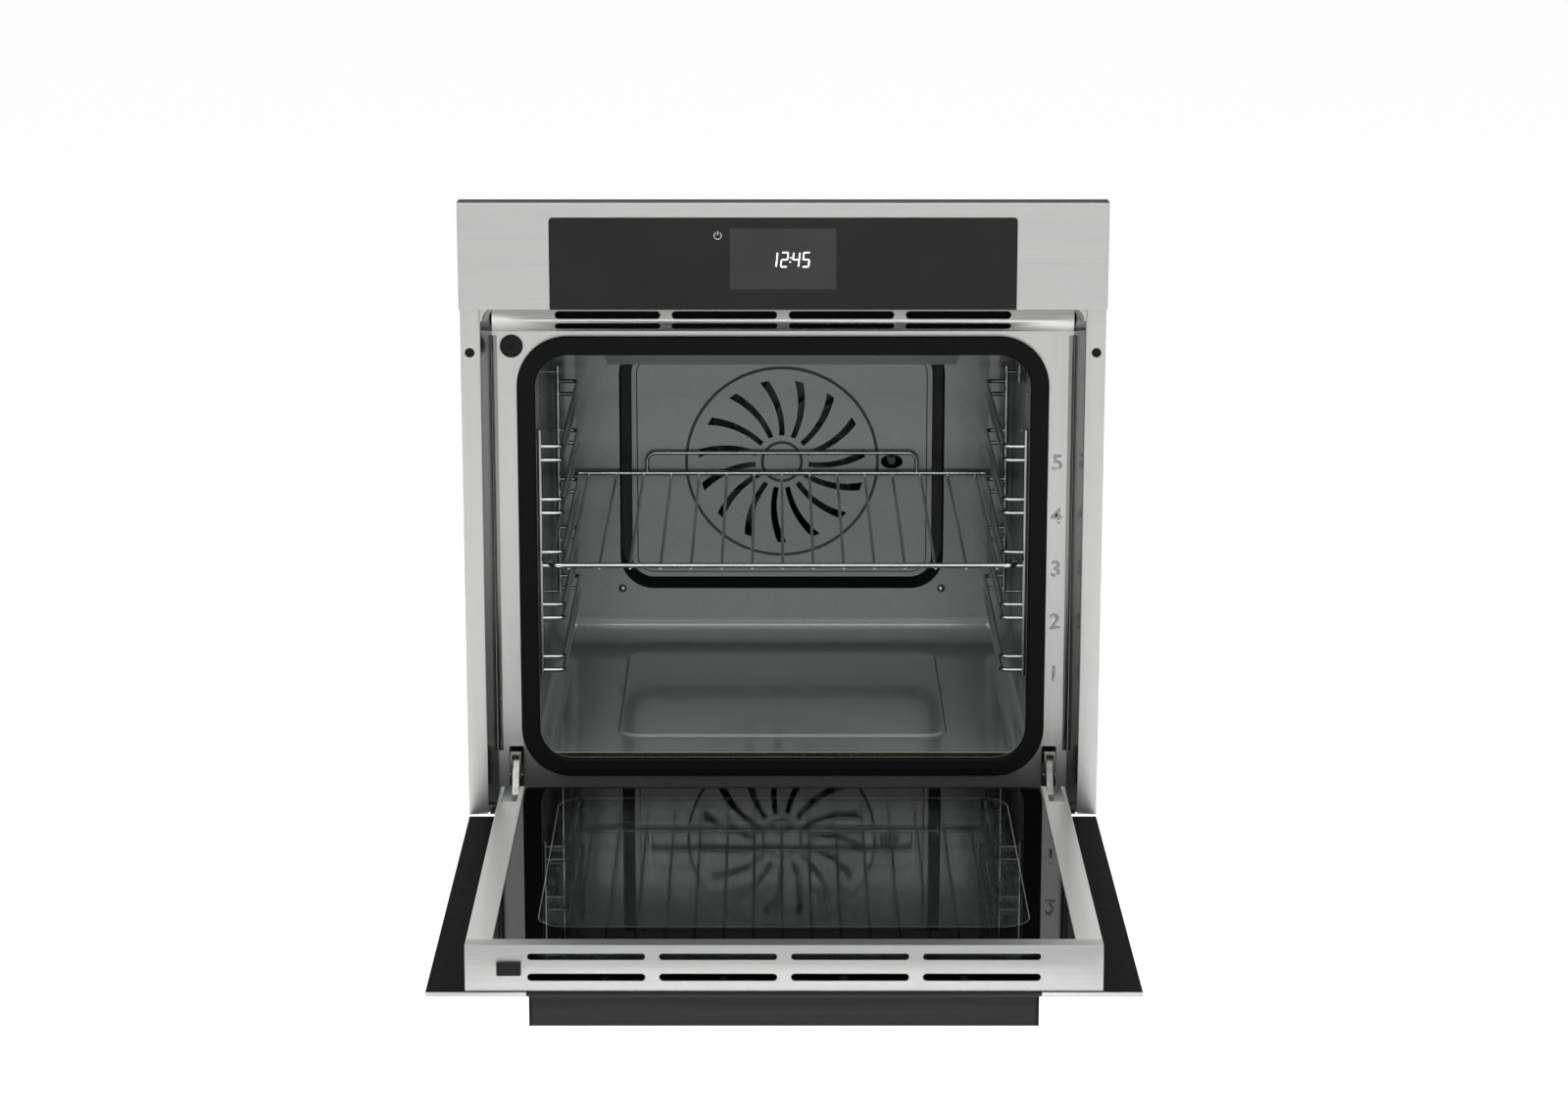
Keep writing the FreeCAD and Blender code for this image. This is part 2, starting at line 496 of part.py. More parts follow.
# ---------------------------------------------------------------------------------------------------
# Front frame, gasket and drain valve
# ---------------------------------------------------------------------------------------------------
def make_front_frame():
    """Pressed steel frame: two columns, their channels and the face plate round the cavity's mouth."""
    sheet = "size.frame_sheet"
    outer = "size.front_width / 2"
    inner = f"({outer} - size.column_width)"
    root = f"({outer} - size.plate_inset)"
    low, top = height("size.frame_bottom"), height("size.front_height - size.fascia_height - size.gap")
    plate_high = height("fit.plate_top")
    front, back = depth("size.fascia_step"), depth("size.front_thickness - size.gap")
    plate_front, plate_back = depth("size.plate_depth"), depth(f"size.plate_depth + {sheet}")
    frame = SlabBody("front_frame")
    columns = frame.outline("z", low, top)
    for sign in ("", "-"):
        columns.polygon(((f"{sign}{outer}", back), (f"{sign}{outer}", front), (f"{sign}{inner}", front),
                         (f"{sign}{root}", plate_front), (f"{sign}{root}", plate_back),
                         (f"{sign}({root} + {sheet})", plate_back),
                         (f"{sign}({inner} + {sheet})", f"{front} + {sheet}"),
                         (f"{sign}({outer} - {sheet})", f"{front} + {sheet}"),
                         (f"{sign}({outer} - {sheet})", back)))
    frame.pad(columns, low, top)
    plate = frame.outline("y", plate_front, plate_back)
    plate.polygon(((f"-({root} + {sheet} / 2)", low), (f"({root} + {sheet} / 2)", low),
                   (f"({root} + {sheet} / 2)", plate_high), (f"-({root} + {sheet} / 2)", plate_high)))
    plate.rounded("-fit.mouth_width / 2", "fit.mouth_width / 2", height("size.mouth_low"),
                  height("fit.mouth_high"), "size.mouth_corner")
    for sign in ("-", ""):
        plate.rounded(f"{sign}fit.hinge_x - size.notch_half", f"{sign}fit.hinge_x + size.notch_half",
                      height("size.slot_low"), height("size.slot_high"), "2")
    plate.circle("-fit.valve_x", height("fit.valve_height"), "size.valve_radius - 3")
    frame.pad(plate, plate_front, plate_back)
    holes = frame.outline("y", f"{front} - 1", f"{front} + {sheet} + 1")
    for sign in ("-", ""):
        holes.circle(f"{sign}({outer} - size.mount_inset)", height("fit.mount_height"), "size.mount_hole")
    frame.pocket(holes, f"{front} - 1", f"{front} + {sheet} + 1")
    keep(frame.body, "front_frame")

    rail = SlabBody("vent_rail")
    rail_half = f"({root} - size.gap)"
    nose, nose_high = depth("size.rail_nose"), height("fit.rail_nose_height")
    crest, crest_high = depth("size.rail_back"), height("fit.rail_top")
    profile = rail.outline("x", f"-{rail_half}", rail_half)
    profile.polygon(((f"{plate_front} + 0.2", f"{plate_high} + size.gap / 3"), (nose, nose_high),
                     (crest, crest_high), (f"{crest} + {sheet} * 1.1", crest_high),
                     (f"{nose} + {sheet} * 1.4", nose_high),
                     (f"{plate_front} + 0.2 + {sheet}", f"{plate_high} + size.gap / 3")))
    rail.pad(profile, f"-{rail_half}", rail_half)
    slots = rail.outline("y", depth("size.rail_nose - 8"), depth("size.rail_back + 8"))
    for place in (-1.5, -0.5, 0.5, 1.5):
        middle = f"{place} * fit.vent_pitch"
        slots.slot(middle, f"{nose_high} + size.vent_high_rise", "fit.vent_slot", "size.vent_high_slot")
        slots.slot(middle, f"{nose_high} - size.vent_low_drop", "fit.vent_slot", "size.vent_low_slot")
    rail.pocket(slots, depth("size.rail_nose - 8"), depth("size.rail_back + 8"))
    keep(rail.body, "vent_rail")

    seal = SlabBody("door_gasket")
    band = "size.gasket_band"
    seal_front, seal_back = depth("size.plate_depth - size.gasket_thick"), depth("size.plate_depth")
    ring = seal.outline("y", seal_front, seal_back)
    ring.rounded(f"-fit.mouth_width / 2 - {band}", f"fit.mouth_width / 2 + {band}",
                 height(f"size.mouth_low - {band}"), height(f"fit.mouth_high + {band}"),
                 f"size.mouth_corner + {band}")
    ring.rounded("-fit.mouth_width / 2", "fit.mouth_width / 2", height("size.mouth_low"),
                 height("fit.mouth_high"), "size.mouth_corner")
    seal.pad(ring, seal_front, seal_back)
    keep(seal.body, "door_gasket")

    valve_centre = ("-fit.valve_x", depth("size.plate_depth - 2.2"), height("fit.valve_height"))
    flange = rod("valve_flange", "y", "size.valve_radius", valve_centre, "2.2")
    stem_start = ("-fit.valve_x", depth("size.plate_depth - 1"), height("fit.valve_height"))
    stem = rod("valve_stem", "y", "size.valve_radius - 3.3", stem_start, "16")
    recess = rod("valve_recess", "y", "2", valve_centre, "1")
    keep(cut("drain_valve", fuse("valve_body", flange, stem), recess), "drain_valve")


# ---------------------------------------------------------------------------------------------------
# Cavity
# ---------------------------------------------------------------------------------------------------
def make_liner():
    """Enamelled cavity: open front with a flange, round corners, fan opening and a raised floor panel."""
    wall = size("liner_sheet")
    bend = size("liner_corner")
    half = fit("cavity_width") / 2
    start = size("plate_depth") + size("frame_sheet")
    inner_low = at(-half, start - bend - 2, size("floor_height"))
    inner_high = at(half, fit("cavity_end"), fit("ceiling_height"))
    grow = Vector(wall, wall, wall)

    def front_edge(edge):
        return all(vertex.Y < number(depth("size.plate_depth")) for vertex in edge.Vertexes)

    def across_depth(edge):
        return abs(edge.Vertexes[0].Y - edge.Vertexes[1].Y) < wall / 2

    inside = rounded_block(inner_low, inner_high, bend, front_edge)
    outside = rounded_block(inner_low - grow, inner_high + grow, bend + wall, front_edge)
    flange_half = fit("mouth_width") / 2 + size("gasket_band")
    flange_low = at(-flange_half, start, size("mouth_low") - size("gasket_band"))
    flange_high = at(flange_half, start + wall, fit("mouth_high") + size("gasket_band"))
    front_cut = block(at(-half - 50, start - bend - 20, 0), at(half + 50, start, size("front_height")))
    mouth_half = fit("mouth_width") / 2
    mouth = rounded_block(at(-mouth_half, start - 5, size("mouth_low")),
                          at(mouth_half, start + wall + 5, fit("mouth_high")), size("mouth_corner"),
                          across_depth)
    flange = rounded_block(flange_low, flange_high, size("mouth_corner") + size("gasket_band"), across_depth)
    flange = flange.cut(mouth)
    opening_half = size("chamber_width") / 2
    opening = rounded_block(at(-opening_half, fit("cavity_end") - 8, size("chamber_low")),
                            at(opening_half, fit("cavity_end") + 8, fit("chamber_high")),
                            size("chamber_corner"), across_depth)
    rise = size("emboss_rise")
    panel_half = fit("emboss_width") / 2
    panel = block(at(-panel_half, size("emboss_start"), size("floor_height") - wall / 2),
                  at(panel_half, fit("emboss_end"), size("floor_height") + rise))
    upright = [edge for edge in panel.Edges if abs(edge.Vertexes[0].Z - edge.Vertexes[1].Z) > 1]
    panel = panel.makeFillet(bend, upright)
    lip = [edge for edge in panel.Edges if all(vertex.Z > number(height("size.floor_height")) + rise / 2
                                                for vertex in edge.Vertexes)]
    panel = panel.makeChamfer(rise * 0.9, lip)
    shell = outside.cut(inside).cut(front_cut).cut(opening)
    shape_part("cavity_liner", joined([shell, flange, panel]))


def make_fan_wall():
    """Fan chamber, its cover with swirl slots, the ring element, the screws and the sloping hood."""
    wall = size("liner_sheet")
    back = fit("cavity_end") + wall
    half = size("chamber_width") / 2
    low, high = size("chamber_low"), fit("chamber_high")
    corner = size("chamber_corner")

    def along_depth(edge):
        return abs(edge.Vertexes[0].Y - edge.Vertexes[1].Y) > 0.1

    def tub(margin, start, end):
        return rounded_block(at(-half - margin, start, low - margin), at(half + margin, end, high + margin),
                             corner + margin, lambda edge: not along_depth(edge))

    end = back + size("chamber_depth")
    chamber = tub(wall, back, end).cut(tub(0, back - 1, end - wall))
    rim = tub(8, back, back + wall).cut(tub(0, back - 1, back + 5))
    centre = at(0, 0, size("fan_height"))
    bore_start = Vector(0, number(depth(str(end - 5))), centre.z)
    chamber = chamber.cut(Part.makeCylinder(size("shaft_radius") + 3, 10, bore_start, Vector(0, 1, 0)))
    steam_start = at(size("steam_x"), end - 5, size("fan_height"))
    steam_hole = Part.makeCylinder(size("steam_radius") + size("gap"), 10, steam_start, Vector(0, 1, 0))
    chamber = chamber.cut(steam_hole)
    cover_half = half - size("cover_gap")
    cover_low, cover_high = low + size("cover_gap"), high - size("cover_gap")
    cover_back = fit("cavity_end") + size("cover_sheet") - 1
    posts = []
    for across in (-1, 1):
        for level in (cover_low + 14, cover_high - 14):
            foot = at(across * (cover_half - 14), cover_back, level)
            reach = end - cover_back - wall / 2
            posts.append(Part.makeCylinder(size("post_radius"), reach, foot, Vector(0, 1, 0)))
    shape_part("fan_chamber", joined([chamber, rim] + posts))

    cover = SlabBody("cover_plate")
    cover_front = "fit.cavity_end - 1"
    cover_rear = "fit.cavity_end - 1 + size.cover_sheet"
    plate = cover.outline("y", depth(cover_front), depth(cover_rear))
    reach = "(size.chamber_width / 2 - size.cover_gap)"
    plate.rounded(f"-{reach}", reach, height("size.chamber_low + size.cover_gap"),
                  height("fit.chamber_high - size.cover_gap"), "size.chamber_corner - size.cover_gap")
    cover.pad(plate, depth(cover_front), depth(cover_rear))
    groove_end = f"{cover_front} + size.groove_depth"
    groove = cover.outline("y", depth(f"{cover_front} - 1"), depth(groove_end))
    middle = height("size.fan_height")
    groove.circle("0", middle, "size.ring_radius")
    groove.circle("0", middle, "size.ring_radius - size.ring_groove")
    groove.circle("0", middle, "size.hub_ring_radius")
    groove.circle("0", middle, "size.hub_ring_radius - size.ring_groove")
    for inset in ("size.hem_inset", "(size.hem_inset + 1)"):
        groove.rounded(f"-{reach} + {inset}", f"{reach} - {inset}",
                       height(f"size.chamber_low + size.cover_gap + {inset}"),
                       height(f"fit.chamber_high - size.cover_gap - {inset}"),
                       f"size.chamber_corner - size.cover_gap - {inset}")
    cover.pocket(groove, depth(f"{cover_front} - 1"), depth(groove_end))
    keep_cover = cover.body

    swirl = swirl_slot()
    count = int(size("swirl_count"))
    turned = []
    for index in range(count):
        copy = swirl.copy()
        copy.rotate(centre, Vector(0, 1, 0), 360.0 / count * index)
        turned.append(copy)
    steam_centre = at(size("steam_x"), fit("cavity_end") - 5, size("fan_height"))
    oval = Part.Face(Part.Wire([Part.Ellipse(steam_centre, 11.5, 7.5).toShape()]))
    oval.rotate(steam_centre, Vector(1, 0, 0), 90)
    turned.append(oval.extrude(Vector(0, 12, 0)))
    tools = DOC.addObject("Part::Feature", "cover_openings")
    tools.Shape = Part.makeCompound(turned)
    keep(cut("cover_cut", keep_cover, tools), "fan_cover")

    rings = []
    for deep in (14.0, 26.0):
        ring = Part.makeTorus(size("heater_radius"), size("heater_rod"),
                              Vector(0, number(depth(f"{back} + {deep}")), centre.z), Vector(0, 1, 0))
        rings.append(ring)
    bridge_start = Vector(0, number(depth(f"{back} + 14")), centre.z + size("heater_radius"))
    rings.append(bar(bridge_start, bridge_start + Vector(0, 12, 0), size("heater_rod")))
    for across in (-16, 16):
        tail = Vector(across, number(depth(f"{back} + 26")),
                      centre.z + math.sqrt(size("heater_radius") ** 2 - across ** 2))
        rings.append(bar(tail, tail + Vector(0, size("chamber_depth") - 26 - wall, 0), size("heater_rod")))
    shape_part("ring_element", joined(rings))

    hood = DOC.addObject("Part::Wedge", "hood_wedge")
    hood.Placement = FreeCAD.Placement(Vector(), FreeCAD.Rotation(Vector(1, 0, 0), 90))
    hood.setExpression(".Placement.Base.y", depth("fit.cavity_end - 1 - 2 * size.gap"))
    hood.setExpression(".Placement.Base.z", height("fit.hood_height"))
    for prop, expression in (("Ymin", "0"), ("Ymax", "fit.ceiling_height - fit.hood_height - size.gap"),
                             ("Xmin", "-fit.hood_low_width / 2"), ("Xmax", "fit.hood_low_width / 2"),
                             ("X2min", "-fit.hood_high_width / 2 + size.liner_corner"),
                             ("X2max", "fit.hood_high_width / 2 - size.liner_corner"),
                             ("Zmin", "0"), ("Zmax", "2"), ("Z2min", "size.liner_corner"),
                             ("Z2max", "size.liner_corner + size.hood_reach")):
        hood.setExpression(prop, expression)
    tail_holes = [rod(f"hood_tail_{sign}", "y", "size.heater_rod + size.gap",
                      (f"{sign}2.5 * fit.grill_lane", depth("size.plate_depth"),
                       height("fit.ceiling_height - size.grill_drop")), "fit.cavity_end")
                  for sign in ("-", "+")]
    sensor_hole = rod("hood_sensor_hole", "y", "size.sensor_radius + size.gap",
                      ("fit.sensor_x", depth("size.plate_depth"),
                       height("fit.ceiling_height - size.sensor_drop")), "fit.cavity_end")
    keep(cut("hood_drilled", hood, sensor_hole, *tail_holes), "rear_hood")


def chamber_screws():
    """Round screw heads in the cavity's rear wall, outside the fan chamber's lower corners."""
    screws = []
    place = size("chamber_width") / 2 - 2
    for across in (-place, place):
        seat = at(across, fit("cavity_end"), size("chamber_low"))
        front_half = block(seat - Vector(9, 9, 9), seat + Vector(9, -0.05, 9))
        screws.append(Part.makeSphere(4.5, seat).common(front_half))
    return screws


def swirl_slot():
    """One curved, widening slot of the fan cover, above the fan's centre."""
    inner, outer = size("swirl_inner"), size("swirl_outer")
    start = fit("cavity_end") - 6
    hub = size("fan_height")

    def polar(radius, degrees):
        angle = math.radians(degrees)
        return at(-radius * math.sin(angle), start, hub + radius * math.cos(angle))

    middle = (inner + outer) / 2
    right = Part.Arc(polar(inner, -5.3), polar(middle, 0.6), polar(outer, 9.2)).toShape()
    left = Part.Arc(polar(outer, 15.2), polar(middle, 7.2), polar(inner, 5.6)).toShape()
    rim = Part.Arc(polar(outer, 9.2), polar(outer, 12.2), polar(outer, 15.2)).toShape()
    root = Part.Arc(polar(inner, 5.6), polar(inner, 0.2), polar(inner, -5.3)).toShape()
    face = Part.Face(Part.Wire([right, rim, left, root]))
    return face.extrude(Vector(0, 14, 0))


def make_fan():
    """Convection fan with radial blades, its shaft and the motor with its bearing bush."""
    back = fit("cavity_end") + size("liner_sheet")
    hub = size("fan_height")
    disc_start = back + size("chamber_depth") - 16
    disc = Part.makeCylinder(size("fan_radius"), 1.2, at(0, disc_start, hub), Vector(0, 1, 0))
    boss = Part.makeCylinder(14, 12, at(0, disc_start - 10.8, hub), Vector(0, 1, 0))
    blades = []
    count = int(size("blade_count"))
    for index in range(count):
        blade = block(at(-0.6, disc_start - size("fan_width"), hub + 42),
                      at(0.6, disc_start + 0.6, hub + size("fan_radius") - 1))
        blade.rotate(at(0, 0, hub + 60), Vector(0, 1, 0), 24)
        blade.rotate(at(0, 0, hub), Vector(0, 1, 0), 360.0 / count * index)
        blades.append(blade)
    wheel = joined([disc, boss] + blades)
    bore = Part.makeCylinder(size("shaft_radius"), 60, at(0, disc_start - 30, hub), Vector(0, 1, 0))
    shape_part("convection_fan", wheel.cut(bore))
    motor_start = back + size("chamber_depth") + size("gap")
    motor_end = number("size.casing_depth + size.front_thickness - size.skin - 2")
    shaft = rod("shaft_bar", "y", "size.shaft_radius",
                ("0", depth(f"{disc_start - 10.8}"), height("size.fan_height")),
                f"{motor_end - 12 - disc_start + 10.8}")
    keep(shaft, "fan_shaft")
    body = Part.makeCylinder(34, motor_end - motor_start, at(0, motor_start, hub), Vector(0, 1, 0))
    ears = block(at(-58, motor_start, hub - 12), at(58, motor_start + 2, hub + 12))
    bush = Part.makeCylinder(size("shaft_radius") + size("shaft_fit"), motor_end - 12 - motor_start + 0.5,
                             at(0, motor_start - 0.1, hub), Vector(0, 1, 0))
    shape_part("fan_motor", joined([body, ears]).cut(bush))


def make_elements():
    """Grill element under the ceiling, bottom element under the floor, sensor, lamp and steam parts."""
    start = size("plate_depth")
    ceiling = fit("ceiling_height")
    rod_size = size("heater_rod")
    lanes = [(index - 2.5) * fit("grill_lane") for index in range(6)]
    near, far = start + 80, start + 310
    level = ceiling - size("grill_drop")
    path = [at(lanes[0], fit("cavity_end") - 30, level), at(lanes[0], near, level)]
    for index, lane in enumerate(lanes[1:], start=1):
        ends = (far, near) if index % 2 == 0 else (near, far)
        path.append(at(lane, ends[0], level))
        path.append(at(lane, ends[1], level))
    path[-1] = at(lanes[-1], fit("cavity_end") - 30, level)
    shape_part("grill_element", bent_wire(path, rod_size, 22))
    saddle = level + rod_size + size("gap")
    hangers = []
    for deep in (near + 20, far - 60):
        hangers.append(block(at(lanes[0] - 10, deep, saddle), at(lanes[-1] + 10, deep + 10, saddle + 1)))
        for across in (-60, 60):
            hangers.append(block(at(across - 5, deep, saddle),
                                 at(across + 5, deep + 10, ceiling - size("gap"))))
    shape_part("grill_hangers", joined(hangers))

    floor = size("floor_height") - size("liner_sheet")
    path = [at(-120, start + 380, floor - 7), at(-120, start + 60, floor - 7), at(-40, start + 60, floor - 7),
            at(-40, start + 320, floor - 7), at(40, start + 320, floor - 7), at(40, start + 60, floor - 7),
            at(120, start + 60, floor - 7), at(120, start + 380, floor - 7)]
    shape_part("bottom_element", bent_wire(path, rod_size, 24))

    sensor_high = ceiling - size("sensor_drop")
    sensor = bar(at(fit("sensor_x"), fit("cavity_end") - 90, sensor_high),
                 at(fit("sensor_x"), fit("cavity_end") - 0.2, sensor_high), size("sensor_radius"))
    shape_part("temperature_sensor", sensor)

    half = fit("cavity_width") / 2
    lamp_depth, lamp_high = 300, 400
    housing = Part.makeCylinder(30, 26, at(half + 1.2, lamp_depth, lamp_high), Vector(1, 0, 0))
    housing = housing.cut(Part.makeCylinder(27, 22, at(half + 1, lamp_depth, lamp_high), Vector(1, 0, 0)))
    lens = Part.makeCylinder(31, 3.5, at(half - 4, lamp_depth, lamp_high), Vector(1, 0, 0))
    shape_part("lamp_lens", lens.makeFillet(1.5, [lens.Edges[0], lens.Edges[2]][:1]))
    socket = Part.makeCylinder(9, 5, at(half + 18, lamp_depth, lamp_high), Vector(1, 0, 0))
    capsule = Part.makeCylinder(5, 12, at(half + 6.5, lamp_depth, lamp_high), Vector(1, 0, 0))
    shape_part("oven_lamp", joined([housing, socket, capsule]))

    socket_place = at(-half + 0.2, 100, fit("rack_high") - 26)
    plate = block(socket_place - Vector(0, 14, 16), socket_place + Vector(3, 14, 16))
    nose = Part.makeCylinder(8, 8, socket_place, Vector(1, 0, 0))
    hole = Part.makeCylinder(3.2, 10, socket_place + Vector(1, 0, 0), Vector(1, 0, 0))
    shape_part("probe_socket", joined([plate, nose]).cut(hole))



def make_racks():
    """Wire racks: two posts and, at each level, a lower and an upper guide bent round to both posts."""
    count = int(size("level_count"))
    for side, sign in SIDES:
        outer, inner = sign * fit("rack_x"), sign * fit("guide_x")
        front, rear = size("rack_front"), fit("rack_rear")
        wires = [bar(at(outer, deep, size("rack_low")), at(outer, deep, fit("rack_high")), size("post_wire"))
                 for deep in (front, rear)]
        for index in range(count):
            for extra in (0, size("guide_spread")):
                level = size("level_low") + index * size("level_pitch") + extra
                path = [at(outer, front, level), at(inner, front, level), at(inner, rear, level),
                        at(outer, rear, level)]
                wires.append(bent_wire(path, size("guide_wire"), 5.5))
        for deep in (front, rear):
            for level in (size("rack_low") + 2, fit("rack_high") - 6):
                wall_side = sign * (fit("cavity_width") / 2 - 0.3)
                wires.append(bar(at(outer, deep, level), at(wall_side, deep, level), 2.0))
        shape_part(f"side_rack_{side}", joined(wires))


def make_shelf():
    """Wire shelf: a rod frame, lengthwise wires under its cross rods and a raised rail at the rear."""
    level_index = 2
    guide = size("level_low") + level_index * size("level_pitch")
    level = guide + size("guide_wire") + size("shelf_rod") + size("gap")
    half, front, rear = fit("shelf_half"), size("shelf_front"), fit("shelf_rear")
    radius, bend = size("shelf_rod"), size("shelf_corner")
    start = at(0, front, level)
    loop = [start, at(half, front, level), at(half, rear, level), at(-half, rear, level),
            at(-half, front, level), start]
    wires = [bent_wire(loop, radius, bend)]
    wire = size("shelf_wire")
    below = level - wire - 0.6
    for index in range(-7, 8):
        across = index * fit("shelf_pitch")
        wires.append(bar(at(across, front - 1, below), at(across, rear + 1, below), wire))
    arch = fit("arch_half")
    top = level + size("arch_rise")
    path = [at(-arch, rear, level), at(-arch, rear, top), at(arch, rear, top), at(arch, rear, level)]
    wires.append(bent_wire(path, 2.0, size("arch_corner")))
    shape_part("wire_shelf", joined(wires))


# ---------------------------------------------------------------------------------------------------
# Insulation and casing
# ---------------------------------------------------------------------------------------------------
def make_insulation():
    """Mineral-wool blanket round the liner, with room for the bottom element and the lamp."""
    half = "fit.cavity_width / 2 + size.liner_sheet + size.insulation_gap"
    thick = "size.insulation_thick"
    start, end = depth("size.plate_depth + 48"), depth("fit.cavity_end - 8")
    low = height("size.floor_height - size.liner_sheet - size.element_room")
    high = height("fit.ceiling_height + size.liner_sheet + size.insulation_gap")
    outer = box("blanket_outer", (f"-({half} + {thick})", start, f"{low} - {thick}"),
                (f"{half} + {thick}", end, f"{high} + {thick}"))
    inner = box("blanket_inner", (f"-({half})", f"{start} - 1", low), (half, f"{end} + 1", high))
    lamp = box("blanket_lamp", ("fit.cavity_width / 2", depth("268"), height("368")),
               ("fit.cavity_width / 2 + 60", depth("332"), height("432")))
    keep(cut("insulation_blanket", outer, inner, lamp), "insulation_blanket")


def make_casing():
    """Outer casing: stepped side walls, base, rear wall, rear deck and the control compartment's cover."""
    half = "fit.casing_width / 2"
    skin = "size.skin"
    front = depth("size.front_thickness")
    back = depth("size.front_thickness + size.casing_depth")
    step = depth("size.front_thickness + size.control_depth")
    walls = []
    side_front = f"({front} + size.side_setback)"
    for side, sign in SIDES:
        near, far = mirrored_span(sign, f"{half} - {skin}", half)
        walls.append(prism(f"casing_{side}", "x", near, far, (
            (side_front, "0"), (back, "0"), (back, "fit.deck_height"), (step, "fit.deck_height"),
            (step, "fit.casing_height"), (side_front, "fit.casing_height"))))
    keep(fuse("casing_side_pair", *walls), "casing_sides")
    inside = f"({half} - {skin})"
    keep(box("base_plate", (f"-{inside}", front, "0"), (inside, back, skin)), "casing_base")

    rear = SlabBody("casing_rear")
    rear_front = f"{back} - {skin}"
    panel = rear.outline("y", rear_front, back)
    panel.polygon(((f"-{inside}", skin), (inside, skin), (inside, f"fit.deck_height - {skin}"),
                   (f"-{inside}", f"fit.deck_height - {skin}")))
    for row in range(5):
        for middle in ("-150", "150"):
            panel.slot(middle, f"{height('size.fan_height')} - 40 + {row * 18}", "90", "6")
    panel.circle(f"{half} - size.gland_inset", "size.gland_height", "size.gland_radius")
    rear.pad(panel, rear_front, back)
    keep(rear.body, "casing_rear")

    deck_high = "fit.deck_height"
    cover = prism("casing_top", "x", f"-{inside}", inside, (
        (front, f"fit.casing_height - {skin}"), (f"{step} - {skin}", f"fit.casing_height - {skin}"),
        (f"{step} - {skin}", f"{deck_high} - {skin}"), (back, f"{deck_high} - {skin}"), (back, deck_high),
        (step, deck_high), (step, "fit.casing_height"), (front, "fit.casing_height")))
    keep(cover, "casing_top")

    gland_x = number(f"{half} - size.gland_inset")
    gland_start = Vector(gland_x, number(back), size("gland_height"))
    backwards = Vector(0, 1, 0)
    gland_hole = Part.makeCylinder(size("gland_radius") - 2, 40, gland_start - backwards * 20, backwards)
    collar = Part.makeCylinder(size("gland_radius") + 4, 6, gland_start, backwards)
    sleeve = Part.makeCylinder(size("gland_radius") - 0.2, 14, gland_start - backwards * 10, backwards)
    shape_part("cable_gland", joined([collar, sleeve]).cut(gland_hole))
    terminal_x = f"{half} - size.gland_inset"
    terminal_low = "size.gland_height + size.gland_radius + 6"
    terminal = box("terminal_body", (f"{terminal_x} - 25", f"{back} - {skin} - 34", terminal_low),
                   (f"{terminal_x} + 25", f"{back} - {skin}", f"{terminal_low} + 46"))
    keep(terminal, "terminal_block")

    screws = []
    for across in (-1, 1):
        for level in (24.0, 250.0, 476.0):
            head = Vector(across * (number(half) - 12), number(back), level)
            screws.append(Part.makeCylinder(3.6, 2, head, Vector(0, 1, 0)))
    shape_part("sheet_screws", Part.makeCompound(screws + chamber_screws()))

    boiler_low = Vector(-number(f"{half} - size.boiler_inset"), number(back) - 44, 60)
    boiler = rounded_block(boiler_low, boiler_low + Vector(90, 38, 120), 6, lambda edge: False)
    shape_part("steam_generator", boiler)
    nozzle = at(size("steam_x"), fit("cavity_end") + 3, size("fan_height"))
    pipe_deep = number(back) - 22
    pipe_level = 74.0
    route = [nozzle, Vector(nozzle.x, pipe_deep, nozzle.z), Vector(nozzle.x, pipe_deep, pipe_level),
             Vector(boiler_low.x + 90.2, pipe_deep, pipe_level)]
    shape_part("steam_pipe", bent_wire(route, size("steam_radius"), 12))


